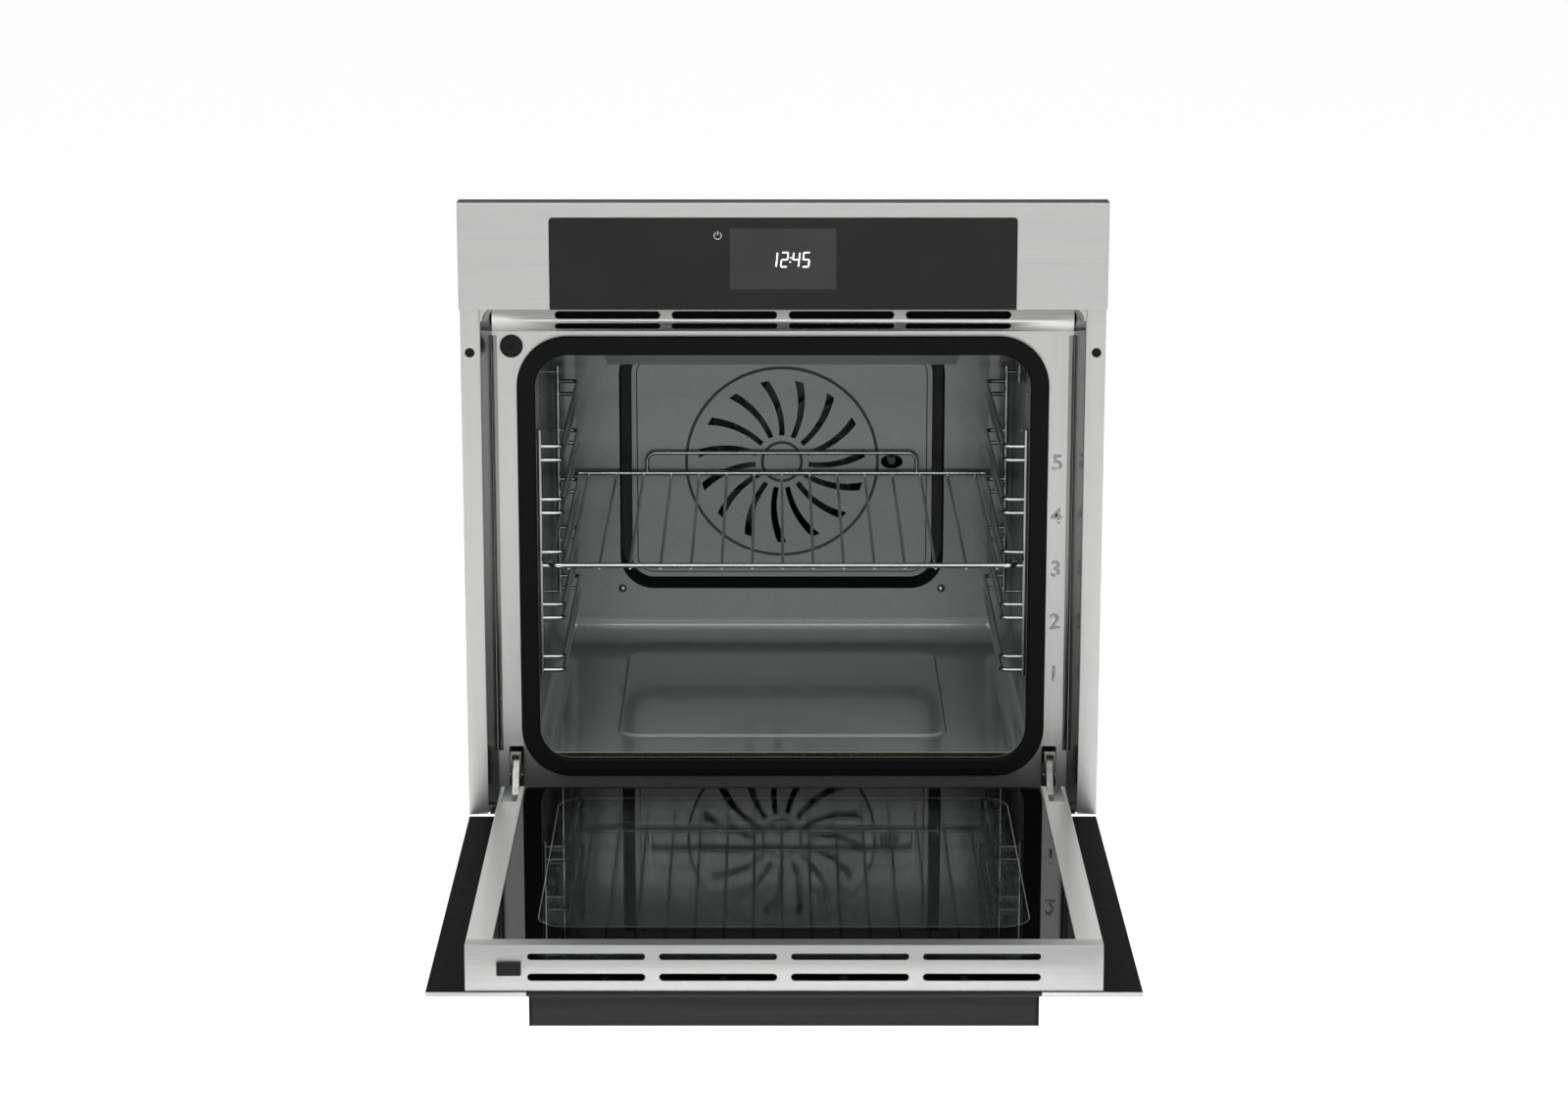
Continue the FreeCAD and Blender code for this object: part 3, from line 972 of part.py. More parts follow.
def make_blower():
    """Cross-flow cooling blower: wheel, motor, scroll housing and the duct that ends at the vent rail."""
    centre_deep, centre_high = size("blower_depth"), fit("blower_height")
    half = size("blower_length") / 2
    radius = size("blower_radius")
    count = 24
    blades = []
    for index in range(count):
        blade = block(at(-half, centre_deep - 0.4, centre_high + radius - 7),
                      at(half, centre_deep + 0.4, centre_high + radius))
        blade.rotate(at(0, centre_deep, centre_high + radius - 3.5), Vector(1, 0, 0), 35)
        blade.rotate(at(0, centre_deep, centre_high), Vector(1, 0, 0), 360.0 / count * index)
        blades.append(blade)
    discs = [Part.makeCylinder(radius + 0.4, 1.2, at(place, centre_deep, centre_high), Vector(1, 0, 0))
             for place in (-half, -0.6, half - 1.2)]
    axle = Part.makeCylinder(2.5, half * 2 + 24, at(-half - 12, centre_deep, centre_high), Vector(1, 0, 0))
    shape_part("blower_wheel", joined(discs + blades + [axle]))

    shell_radius = radius + 1.6
    bore_radius = 2.5 + size("shaft_fit")
    sideways = Vector(1, 0, 0)
    shell_start = at(-half - 4, centre_deep, centre_high)
    hollow_start = at(-half - 3, centre_deep, centre_high)
    bore_start = at(-half - 10, centre_deep, centre_high)
    outer = Part.makeCylinder(shell_radius + 1, half * 2 + 8, shell_start, sideways)
    inner = Part.makeCylinder(shell_radius, half * 2 + 6, hollow_start, sideways)
    front_gap = block(at(-half - 3, centre_deep - 60, centre_high - 40),
                      at(half + 3, centre_deep - 4, centre_high + 4))
    axle_hole = Part.makeCylinder(bore_radius, half * 2 + 20, bore_start, sideways)
    shape_part("blower_housing", outer.cut(inner).cut(front_gap).cut(axle_hole))
    motor_start = half + 4.3
    motor = Part.makeCylinder(20, 34, at(motor_start, centre_deep, centre_high), sideways)
    bore = Part.makeCylinder(bore_radius, 12, at(motor_start - 1, centre_deep, centre_high), sideways)
    shape_part("blower_motor", motor.cut(bore))

    duct_half = number("size.front_width / 2 - size.plate_inset - 6")
    floor_deep = size("plate_depth") + 14
    floor_low, floor_high, side_high = (fit("plate_top") + rise for rise in (14, 15, 30))
    duct_end = 108
    duct = block(at(-duct_half, floor_deep, floor_low), at(duct_half, duct_end, floor_high))
    sides = [block(at(place - 0.5, floor_deep, floor_low), at(place + 0.5, duct_end, side_high))
             for place in (-duct_half + 0.5, duct_half - 0.5)]
    apron = block(at(-duct_half, floor_deep, fit("plate_top") + 1),
                  at(duct_half, floor_deep + 1, floor_high))
    shape_part("air_duct", joined([duct, apron] + sides))

    latch = box("switch_body", ("-fit.catch_x - 14", depth("26"), height("500")),
                ("-fit.catch_x + 14", depth("44"), height("522")))
    plunger = rod("switch_plunger", "z", "3", ("-fit.catch_x", depth("34"), height("497")), "4")
    keep(fuse("door_switch", latch, plunger), "door_switch")


# ---------------------------------------------------------------------------------------------------
# Hinges
# ---------------------------------------------------------------------------------------------------
def make_hinges():
    """Hinge arms and receivers on the frame, flip latches on the arms, cartridges and pins in the door."""
    pin_y, pin_z = depth("size.pin_depth"), height("size.pin_height")
    rivet_y, rivet_z = depth("size.latch_pivot_depth"), height("size.latch_pivot_height")
    half_arm = size("arm_thick") / 2
    gap, ear = size("ear_gap"), size("ear_thick")
    arms, receivers, cartridges, pins, springs = [], [], [], [], []
    for side, sign in SIDES:
        middle = sign * fit("hinge_x")
        near, far = mirrored_span(sign, "fit.hinge_x - size.arm_thick / 2",
                                  "fit.hinge_x + size.arm_thick / 2")
        arm = prism(f"arm_plate_{side}", "x", near, far, (
            (depth("74"), height("30")), (depth("74"), height("58")), (depth("44"), height("58")),
            (depth("22"), height("24")), (f"{pin_y} - 3", f"{pin_z} + 4.6"),
            (f"{pin_y} - 4.6", f"{pin_z} + 2"),
            (f"{pin_y} - 4.6", f"{pin_z} - 2"), (f"{pin_y} - 2", f"{pin_z} - 4.6"),
            (f"{pin_y} + 7", f"{pin_z} - 4.6"), (depth("34"), height("20")), (depth("50"), height("30"))))
        eye = rod(f"arm_eye_{side}", "x", "size.pin_radius + size.pin_fit",
                  (f"{near} - 1", pin_y, pin_z), "size.arm_thick + 2")
        reach = "(size.ear_gap + size.ear_thick + 1)"
        rivet = rod(f"latch_rivet_{side}", "x", "size.latch_pin_radius - size.pin_fit",
                    (f"{near} - {reach}", rivet_y, rivet_z), f"size.arm_thick + 2 * {reach}")
        arms.append(fuse(f"arm_{side}", cut(f"arm_drilled_{side}", arm, eye), rivet))
        make_latch(side, middle, half_arm + gap, ear)

        wall = Vector(1.2, 1.2, 1.2)
        receiver_low = at(middle - 7.5, size("plate_depth") + size("frame_sheet"), size("slot_low") - 3)
        receiver_high = at(middle + 7.5, 92, size("slot_high") + 3)
        hollow = block(receiver_low + wall - Vector(0, 5, 0), receiver_high - wall)
        receivers.append(block(receiver_low, receiver_high).cut(hollow))

        bar_low = at(middle - 5.8, -150, 6.2)
        bar_high = at(middle + 5.8, -4, 15.8)
        centre = Vector(0, number(pin_y), number(pin_z))
        members = [block(bar_low, bar_high)]
        for face in (-1, 1):
            start_x = middle + face * (half_arm + gap) + min(face * ear, 0)
            members.append(block(Vector(start_x, bar_high.y - 1, bar_low.z + 0.2),
                                 Vector(start_x + ear, centre.y, centre.z + 4.3)))
            members.append(Part.makeCylinder(4.3, ear, Vector(start_x, centre.y, centre.z), Vector(1, 0, 0)))
        channel = block(bar_low + Vector(2.3, 8, 2), bar_high + Vector(-2.3, -20, 5))
        pin_half = half_arm + gap + ear + 0.6
        pin_start = Vector(middle - pin_half, centre.y, centre.z)
        pin = Part.makeCylinder(size("pin_radius"), 2 * pin_half, pin_start, Vector(1, 0, 0))
        cartridges.append(joined(members).cut(channel).cut(pin))
        pins.append(pin)
        rod_place = bar_low + Vector(5.8, 8.2, 5.4)
        springs.append(Part.makeCylinder(3.1, 90, rod_place, Vector(0, 1, 0)).cut(
            Part.makeCylinder(1.6, 90, rod_place, Vector(0, 1, 0))))
    keep(fuse("arm_pair", *arms), "hinge_arms")
    shape_part("hinge_receivers", Part.makeCompound(receivers))
    shape_part("hinge_cartridges", Part.makeCompound(cartridges))
    shape_part("hinge_pins", Part.makeCompound(pins))
    shape_part("hinge_springs", Part.makeCompound(springs))


def make_latch(side, middle, inner_face, ear):
    """Flip latch: two cheeks beside the arm, joined by a bridge above it, that turn on a rivet."""
    pivot = at(middle, size("latch_pivot_depth"), size("latch_pivot_height"))
    outline = [(-5.1, -3.6), (2.1, -3.6), (3.1, 6), (3.1, 21), (-4.7, 21), (-7.0, 8)]
    cheeks = []
    for face in (-1, 1):
        start_x = middle + face * inner_face
        corners = [Vector(start_x, pivot.y + deep, pivot.z + high) for deep, high in outline]
        cheeks.append(Part.Face(Part.makePolygon(corners + [corners[0]])).extrude(Vector(face * ear, 0, 0)))
    reach = inner_face + ear
    bridge = block(pivot + Vector(-reach, -4.7, 20.2), pivot + Vector(reach, 3.1, 22))
    hole = Part.makeCylinder(size("latch_pin_radius"), 30, pivot - Vector(15, 0, 0), Vector(1, 0, 0))
    shape_part(f"hinge_latch_{side}", joined(cheeks + [bridge]).cut(hole))


# ---------------------------------------------------------------------------------------------------
# Door, lying open
# ---------------------------------------------------------------------------------------------------
def make_door():
    """Door: full-width glass, steel side trims, body rails, slotted cap, panes, catch and handle."""
    half = "size.front_width / 2"
    start = depth("size.door_start")
    end = depth("size.door_start - fit.door_length")
    glass_low, glass_high = height("size.door_glass_low"), height("size.door_glass_high")
    face = height("size.door_face")
    window_half = "fit.window_width / 2"
    pane = box("outer_pane", (f"-{half}", end, glass_low), (half, start, glass_high))
    centre = box("outer_centre", (f"-{window_half}", end, face), (window_half, start, f"{glass_low} + 0.5"))
    keep(fuse("door_outer_glass", pane, centre), "door_outer_glass")
    trims = []
    for side, sign in SIDES:
        near, far = mirrored_span(sign, f"{window_half} + size.gap", half)
        trims.append(box(f"door_trim_{side}", (near, end, face), (far, start, glass_low)))
    keep(fuse("door_trim_pair", *trims), "door_trims")

    body_end, body_start = depth("fit.door_body_end"), depth("size.door_rail_start")
    cap_back = f"{body_end} + size.cap_depth"
    inner_face = height("fit.door_inner_face")
    wall = "size.door_rail_sheet"
    inner_edge = "fit.rail_outer - size.door_rail_width"
    rails = []
    for side, sign in SIDES:
        near, far = mirrored_span(sign, inner_edge, "fit.rail_outer")
        shell = box(f"rail_shell_{side}", (near, f"{cap_back} + size.gap", glass_high),
                    (far, body_start, inner_face))
        hollow = box(f"rail_hollow_{side}", (f"{near} + {wall}", f"{cap_back} - 5", f"{glass_high} - 1"),
                     (f"{far} - {wall}", f"{body_start} + 5", f"{inner_face} - {wall}"))
        notch_near, notch_far = mirrored_span(sign, "fit.hinge_x - size.notch_half",
                                              "fit.hinge_x + size.notch_half")
        notch = box(f"rail_notch_{side}", (notch_near, depth("size.notch_end"), f"{inner_face} - 4"),
                    (notch_far, f"{body_start} + 5", f"{inner_face} + 4"))
        rails.append(cut(f"door_rail_{side}", shell, hollow, notch))
    keep(fuse("door_rail_pair", *rails), "door_rails")

    cap = SlabBody("cap_sheet")
    outer = "fit.rail_outer"
    bend_high = height("size.cap_bend")
    profile = cap.outline("x", f"-{outer}", outer)
    profile.polygon(((body_end, glass_high), (body_end, bend_high),
                     (f"{body_end} + size.cap_tilt", inner_face),
                     (cap_back, inner_face), (cap_back, f"{inner_face} - 1.2"),
                     (f"{body_end} + size.cap_tilt + 1.4", f"{inner_face} - 1.2"),
                     (f"{body_end} + 1.4", bend_high), (f"{body_end} + 1.4", glass_high)))
    cap.pad(profile, f"-{outer}", outer)
    slots = cap.outline("y", f"{body_end} - 5", f"{body_end} + 8")
    for place in (-1.5, -0.5, 0.5, 1.5):
        middle = f"{place} * fit.door_slot_pitch"
        slots.slot(middle, height("17.3"), "fit.door_slot", "size.door_slot_height")
        slots.slot(middle, height("34.8"), "fit.door_slot", "size.door_slot_height - 1")
    cap.pocket(slots, f"{body_end} - 5", f"{body_end} + 8")
    ends = []
    for side, sign in SIDES:
        near, far = mirrored_span(sign, f"{outer} - 1.4", outer)
        ends.append(prism(f"cap_end_{side}", "x", near, far, (
            (f"{body_end} + 0.7", glass_high), (f"{body_end} + 0.7", bend_high),
            (f"{body_end} + size.cap_tilt + 0.7", f"{inner_face} - 0.6"), (cap_back, f"{inner_face} - 0.6"),
            (cap_back, glass_high))))
    keep(fuse("cap_with_ends", cap.body, *ends), "door_top_cap")

    foot = box("foot_block", (f"-({inner_edge}) + size.gap", depth("size.pane_start + size.gap"), glass_high),
               (f"{inner_edge} - size.gap", body_start, f"{inner_face} - 0.6"))
    keep(foot, "door_foot_strip")

    pane_half = f"({inner_edge} - size.gap)"
    inner_low = f"{inner_face} - size.inner_glass"
    keep(box("inner_pane", (f"-{pane_half}", f"{cap_back} + size.gap", inner_low),
             (pane_half, depth("size.pane_start"), inner_face)), "door_inner_glass")
    levels = (("a", 16.0), ("b", 28.0))
    panes = []
    for letter, level in levels:
        panes.append(box(f"middle_pane_{letter}", (f"-{pane_half} + 4", f"{cap_back} + 6", height(level)),
                         (f"{pane_half} - 4", depth("size.pane_start - 6"),
                          f"{height(level)} + size.mid_glass")))
    keep(fuse("middle_pane_pair", *panes), "door_middle_glasses")
    spacers = []
    stack = [number(glass_high)] + [number(f"{height(level)} + size.mid_glass") for _, level in levels]
    tops = [number(height(level)) for _, level in levels] + [number(inner_low)]
    for across in (-1, 1):
        for deep in (-60.0, -240.0, -420.0):
            place = at(across * (number(pane_half) - 12), deep, 0)
            for base, top in zip(stack, tops):
                spacers.append(block(Vector(place.x - 5, place.y - 12, base),
                                     Vector(place.x + 5, place.y + 12, top)))
    shape_part("pane_spacers", Part.makeCompound(spacers))

    catch_half = "size.catch_width / 2"
    catch_low = height("19.7")
    keep(box("catch_block", (f"-fit.catch_x - {catch_half}", f"{body_end} - 4", catch_low),
             (f"-fit.catch_x + {catch_half}", body_end, f"{catch_low} + size.catch_height")), "door_catch")

    front, drop = depth("fit.handle_depth"), f"{face} - size.handle_drop"
    grip = prism("handle", "x", f"-{window_half} + 2", f"{window_half} - 2", (
        (front, face), (front, drop), (f"{front} + size.handle_lip", drop),
        (f"{front} + size.handle_lip", f"{drop} + size.handle_wall"),
        (f"{front} + size.handle_wall", f"{drop} + size.handle_wall"), (f"{front} + size.handle_wall", face)))
    keep(grip, "handle")
    caps = []
    for side, sign in SIDES:
        near, far = mirrored_span(sign, f"{window_half} - 2", window_half)
        caps.append(prism(f"handle_end_{side}", "x", near, far, (
            (front, face), (front, drop), (f"{front} + size.handle_lip", drop),
            (f"{front} + size.handle_lip", f"{drop} + 10"), (f"{front} + 14", face))))
    keep(fuse("handle_end_pair", *caps), "handle_end_caps")
    screws = []
    for across in (-150, -50, 50, 150):
        head = Vector(across, number(front) + size("handle_wall") / 2, number(glass_high))
        screws.append(Part.makeCylinder(4, 2, head, Vector(0, 0, 1)))
    shape_part("handle_screws", Part.makeCompound(screws))


def check_and_write():
    """Recompute, refuse anything failed or empty, and write one file per sub-part."""
    DOC.recompute()
    failed = [item.Name for item in DOC.Objects if "Invalid" in item.State or "Error" in item.State]
    if failed:
        raise SystemExit(f"failed objects: {failed}")
    names = [item.Label for item in SUB_PARTS]
    if len(set(names)) != len(names):
        raise SystemExit("two sub-parts share a name")
    bad = [item.Label for item in SUB_PARTS if item.Shape.isNull() or not item.Shape.isValid()
           or not item.Shape.Solids]
    if bad:
        raise SystemExit(f"bad shapes: {bad}")
    os.makedirs("parts", exist_ok=True)
    for item in SUB_PARTS:
        item.Shape.exportStep(f"parts/{item.Label}.step")
    print(len(SUB_PARTS), "sub-parts written")


make_fascia()
make_front_frame()
make_liner()
make_fan_wall()
make_fan()
make_elements()
make_racks()
make_shelf()
make_insulation()
make_casing()
make_blower()
make_hinges()
make_door()
check_and_write()
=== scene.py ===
import logging
import math
from dataclasses import dataclass, field
from enum import Enum
from typing import Callable, Iterable, Optional

import bpy
from bpy.types import Material, MeshPolygon, Node, NodeSocket, NodeTree, Object
from mathutils import Matrix, Vector


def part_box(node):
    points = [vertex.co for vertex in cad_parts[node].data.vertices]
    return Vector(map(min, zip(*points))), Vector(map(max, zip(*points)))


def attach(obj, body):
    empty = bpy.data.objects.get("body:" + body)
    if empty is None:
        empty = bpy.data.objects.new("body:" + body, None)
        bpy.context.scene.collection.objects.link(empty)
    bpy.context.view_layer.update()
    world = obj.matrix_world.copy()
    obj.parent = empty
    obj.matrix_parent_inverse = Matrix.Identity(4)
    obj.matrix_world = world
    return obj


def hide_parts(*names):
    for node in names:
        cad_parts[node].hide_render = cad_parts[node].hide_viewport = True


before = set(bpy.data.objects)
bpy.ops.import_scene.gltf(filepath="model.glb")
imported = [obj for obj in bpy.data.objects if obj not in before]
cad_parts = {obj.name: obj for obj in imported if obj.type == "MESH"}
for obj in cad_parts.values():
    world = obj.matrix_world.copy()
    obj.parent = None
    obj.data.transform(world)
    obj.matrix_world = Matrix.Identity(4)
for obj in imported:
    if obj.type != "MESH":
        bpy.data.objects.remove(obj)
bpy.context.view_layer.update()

# Built-in wall oven with its door down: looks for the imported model, in metres.

LOG = logging.getLogger("wall_oven")
MM = 0.001
METRE_MM = 1000.0
FRONT_HEIGHT = 594.0
WELD_MM = 0.004
FACING_FRONT = (math.pi / 2, 0, 0)
NODES: dict[str, Object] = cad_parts
EdgeTest = Callable[[Vector, Vector], bool]
FaceTest = Callable[[MeshPolygon], bool]


class Axis(Enum):
    """Row axes that a grain or a row of pieces can follow."""

    X = 0
    Y = 1
    Z = 2


# Shader helpers
def linear(hex_colour: str, alpha: float = 1.0) -> tuple[float, float, float, float]:
    """Turn an sRGB hex colour into linear values.

    Args:
        hex_colour: Six hex digits.
        alpha: Opacity to append.
    Returns:
        Red, green, blue and alpha.
    """
    parts = [int(hex_colour[index:index + 2], 16) / 255 for index in (0, 2, 4)]
    light = [part / 12.92 if part <= 0.04045 else ((part + 0.055) / 1.055) ** 2.4 for part in parts]
    return *light, alpha


def feed(item: Node, inputs: dict) -> None:
    """Give a node's inputs their values, or links where the value is an output socket."""
    for key, value in inputs.items():
        if isinstance(value, NodeSocket):
            item.id_data.links.new(value, item.inputs[key])
        else:
            item.inputs[key].default_value = value


def add_node(tree: NodeTree, kind: str, inputs: Optional[dict] = None, **settings) -> Node:
    """Add a shader node with its settings and links.

    Args:
        tree: Node tree to add to.
        kind: Blender's identifier of the node.
        inputs: Value or output socket for each input, by name or index.
        settings: Properties of the node.
    Returns:
        The new node.
    """
    item = tree.nodes.new(kind)
    for key, value in settings.items():
        setattr(item, key, value)
    feed(item, inputs or {})
    return item


def ramp(tree: NodeTree, factor: NodeSocket,
         stops: Iterable[tuple[float, str]]) -> NodeSocket:
    """Colour ramp over a factor.

    Args:
        tree: Node tree to add to.
        factor: Socket that drives the ramp.
        stops: Pairs of position and sRGB hex colour.
    Returns:
        The ramp's colour socket.
    """
    item = add_node(tree, "ShaderNodeValToRGB", {"Fac": factor})
    stops = list(stops)
    while len(item.color_ramp.elements) < len(stops):
        item.color_ramp.elements.new(0.5)
    for element, (place, colour) in zip(item.color_ramp.elements, stops):
        element.position = place
        element.color = linear(colour)
    return item.outputs["Color"]


def stretched(tree: NodeTree, scale: tuple[float, ...] = (1, 1, 1)) -> NodeSocket:
    """Object coordinates multiplied by a scale along each axis."""
    place = add_node(tree, "ShaderNodeTexCoord").outputs["Object"]
    return add_node(tree, "ShaderNodeMapping", {"Vector": place, "Scale": scale}).outputs["Vector"]


def noise(tree: NodeTree, size_mm: float, detail: float = 2.0, roughness: float = 0.5,
          place: Optional[NodeSocket] = None, output: str = "Fac") -> NodeSocket:
    """Add soft noise whose lumps have a real size.

    Args:
        tree: Node tree to add to.
        size_mm: Size of a lump in the place's units, millimetres by default.
        detail: Octaves of finer noise.
        roughness: Strength of the finer octaves.
        place: Coordinates, those of the object by default.
        output: Name of the output wanted.
    Returns:
        That output.
    """
    item = add_node(tree, "ShaderNodeTexNoise", {"Vector": place or stretched(tree), "Detail": detail,
                                                 "Scale": 1 / (size_mm * MM), "Roughness": roughness})
    return item.outputs[output]


# Finishes
@dataclass(frozen=True)
class Finish:
    """Shared part of every finish.

    Attributes:
        name: Material name, after the real finish.
        dark: sRGB hex of the darkest tone.
        light: sRGB hex of the lightest tone.
        roughness: Mean roughness.
    """

    name: str
    dark: str
    light: str
    roughness: float

    def build(self) -> Material:
        """Make the material around its principled shader.

        Returns:
            The finished material.
        """
        material = bpy.data.materials.new(self.name)
        material.use_nodes = True
        tree = material.node_tree
        tree.nodes.clear()
        shader = add_node(tree, "ShaderNodeBsdfPrincipled")
        add_node(tree, "ShaderNodeOutputMaterial", {"Surface": shader.outputs[0]})
        self.weave(tree, shader)
        return material

    def weave(self, tree: NodeTree, shader: Node) -> None:
        """Lay the pattern into the shader."""
        raise NotImplementedError

    def tint(self, tree: NodeTree, shader: Node, factor: NodeSocket, low: float, high: float) -> None:
        """Colour the surface from dark to light between two levels of a pattern."""
        colour = ramp(tree, factor, ((low, self.dark), (high, self.light)))
        feed(shader, {"Base Color": colour})

    def roughen(self, tree: NodeTree, shader: Node, factor: NodeSocket,
                swing: float) -> None:
        """Vary the roughness about its mean.

        Args:
            tree: Node tree of the material.
            shader: Principled shader.
            factor: Pattern from 0 to 1.
            swing: Largest departure from the mean.
        """
        span = add_node(tree, "ShaderNodeMapRange", {"Value": factor, "To Min": self.roughness - swing,
                                                     "To Max": self.roughness + swing})
        feed(shader, {"Roughness": span.outputs["Result"]})

    def emboss(self, tree: NodeTree, shader: Node, factor: NodeSocket,
               height_mm: float, strength: float = 0.5) -> None:
        """Raise the surface by a pattern.

        Args:
            tree: Node tree of the material.
            shader: Principled shader.
            factor: Pattern from 0 to 1.
            height_mm: Height of the pattern.
            strength: Share of the bump that shows.
        """
        bump = add_node(tree, "ShaderNodeBump", {"Height": factor, "Strength": strength,
                                                 "Distance": height_mm * MM})
        feed(shader, {"Normal": bump.outputs["Normal"]})


@dataclass(frozen=True)
class BrushedMetal(Finish):
    """Metal ground with a belt: fine parallel lines over broad soft bands.

    Attributes:
        grain: Axis that the lines run along.
        line_mm: Spacing of the lines; the real 0.1 mm grit marks are drawn coarser so that they show.
        length_mm: Length of one line.
        band_lines: Lines that one broad band takes in.
    """

    grain: Axis = Axis.X
    line_mm: float = 0.9
    length_mm: float = 160.0
    band_lines: float = 18.0

    def weave(self, tree: NodeTree, shader: Node) -> None:
        """Lay the pattern into the shader."""
        feed(shader, {"Metallic": 1.0})
        scale = [1 / (self.line_mm * MM)] * 3
        scale[self.grain.value] = 1 / (self.length_mm * MM)
        lines = noise(tree, METRE_MM, 4.0, 0.65, stretched(tree, tuple(scale)))
        broad = tuple(value / self.band_lines for value in scale)
        bands = noise(tree, METRE_MM, 1.0, place=stretched(tree, broad))
        both = add_node(tree, "ShaderNodeMix", {0: 0.35, 2: lines, 3: bands})
        self.tint(tree, shader, both.outputs[0], 0.28, 0.72)
        self.roughen(tree, shader, lines, 0.03)
        self.emboss(tree, shader, lines, 0.006, 0.25)


@dataclass(frozen=True)
class PlainMetal(Finish):
    """Rolled, drawn or plated metal: soft clouding, fine scratches and a little unevenness.

    Attributes:
        cloud_mm: Size of the clouding.
        pit_mm: Size of the fine marks.
        dent_mm: Height of the unevenness.
    """

    cloud_mm: float = 40.0
    pit_mm: float = 1.2
    dent_mm: float = 0.02

    def weave(self, tree: NodeTree, shader: Node) -> None:
        """Lay the pattern into the shader."""
        feed(shader, {"Metallic": 1.0})
        clouds = noise(tree, self.cloud_mm, 3.0)
        marks = noise(tree, self.pit_mm)
        both = add_node(tree, "ShaderNodeMix", {0: 0.4, 2: clouds, 3: marks})
        self.tint(tree, shader, both.outputs[0], 0.3, 0.7)
        self.roughen(tree, shader, marks, 0.05)
        self.emboss(tree, shader, clouds, self.dent_mm)


@dataclass(frozen=True)
class SpangledZinc(Finish):
    """Hot-dip galvanised sheet: frozen zinc crystals, each with its own tone and sheen.

    Attributes:
        crystal_mm: Width of a crystal.
        bend_mm: Size of the waves in the crystals' borders.
        stray_mm: How far those borders stray.
    """

    crystal_mm: float = 6.5
    bend_mm: float = 14.0
    stray_mm: float = 4.0

    def weave(self, tree: NodeTree, shader: Node) -> None:
        """Lay the pattern into the shader."""
        feed(shader, {"Metallic": 1.0})
        place = stretched(tree)
        bend = noise(tree, self.bend_mm, place=place, output="Color")
        warp = add_node(tree, "ShaderNodeVectorMath", {0: bend, "Scale": self.stray_mm * MM},
                        operation="SCALE")
        moved = add_node(tree, "ShaderNodeVectorMath", {0: place, 1: warp.outputs[0]}, operation="ADD")
        crystals = add_node(tree, "ShaderNodeTexVoronoi", {"Vector": moved.outputs[0],
                                                           "Scale": 1 / (self.crystal_mm * MM)})
        tone = add_node(tree, "ShaderNodeSeparateColor", {0: crystals.outputs["Color"]})
        self.tint(tree, shader, tone.outputs[0], 0.0, 1.0)
        self.roughen(tree, shader, tone.outputs[1], 0.06)
        self.emboss(tree, shader, tone.outputs[2], 0.01, 0.2)


@dataclass(frozen=True)
class Coating(Finish):
    """Opaque layer that isn't metal: vitreous enamel, moulded plastic, rubber, ceramic, wool, and dead black
    painted as shade.

    Attributes:
        fleck_mm: Size of the flecks or the moulded grain.
        wave_mm: Size of the slow unevenness, such as orange peel.
        relief_mm: Height of the grain.
        swing: Change of roughness over the grain.
        sheen: Strength of the dusty sheen.
        specular: Strength of the mirror layer, 0.5 for an ordinary one.
        coat: Strength of a clear gloss layer.
    """

    fleck_mm: float = 0.8
    wave_mm: float = 9.0
    relief_mm: float = 0.03
    swing: float = 0.04
    sheen: float = 0.0
    specular: float = 0.5
    coat: float = 0.0

    def weave(self, tree: NodeTree, shader: Node) -> None:
        """Lay the pattern into the shader."""
        feed(shader, {"Specular IOR Level": self.specular, "Sheen Weight": self.sheen,
                      "Coat Weight": self.coat, "Coat Roughness": 0.05})
        flecks = noise(tree, self.fleck_mm, 3.0, 0.7)
        waves = noise(tree, self.wave_mm, 1.0)
        self.tint(tree, shader, flecks, 0.35, 0.75)
        self.roughen(tree, shader, waves, self.swing)
        both = add_node(tree, "ShaderNodeMix", {0: 0.6, 2: flecks, 3: waves})
        self.emboss(tree, shader, both.outputs[0], self.relief_mm)


@dataclass(frozen=True)
class FloatGlass(Finish):
    """Float glass, clear or printed black behind, with a trace of handling haze.

    Attributes:
        clear: Share of light that goes through.
        specular: Strength of the mirror layer.
        smear_mm: Size of the haze.
        index: Refractive index.
    """

    clear: float = 0.0
    specular: float = 0.5
    smear_mm: float = 60.0
    index: float = 1.5

    def weave(self, tree: NodeTree, shader: Node) -> None:
        """Lay the pattern into the shader."""
        feed(shader, {"Transmission Weight": self.clear, "Specular IOR Level": self.specular,
                      "IOR": self.index})
        haze = noise(tree, self.smear_mm, 4.0)
        self.tint(tree, shader, haze, 0.3, 0.7)
        self.roughen(tree, shader, haze, self.roughness * 0.6)


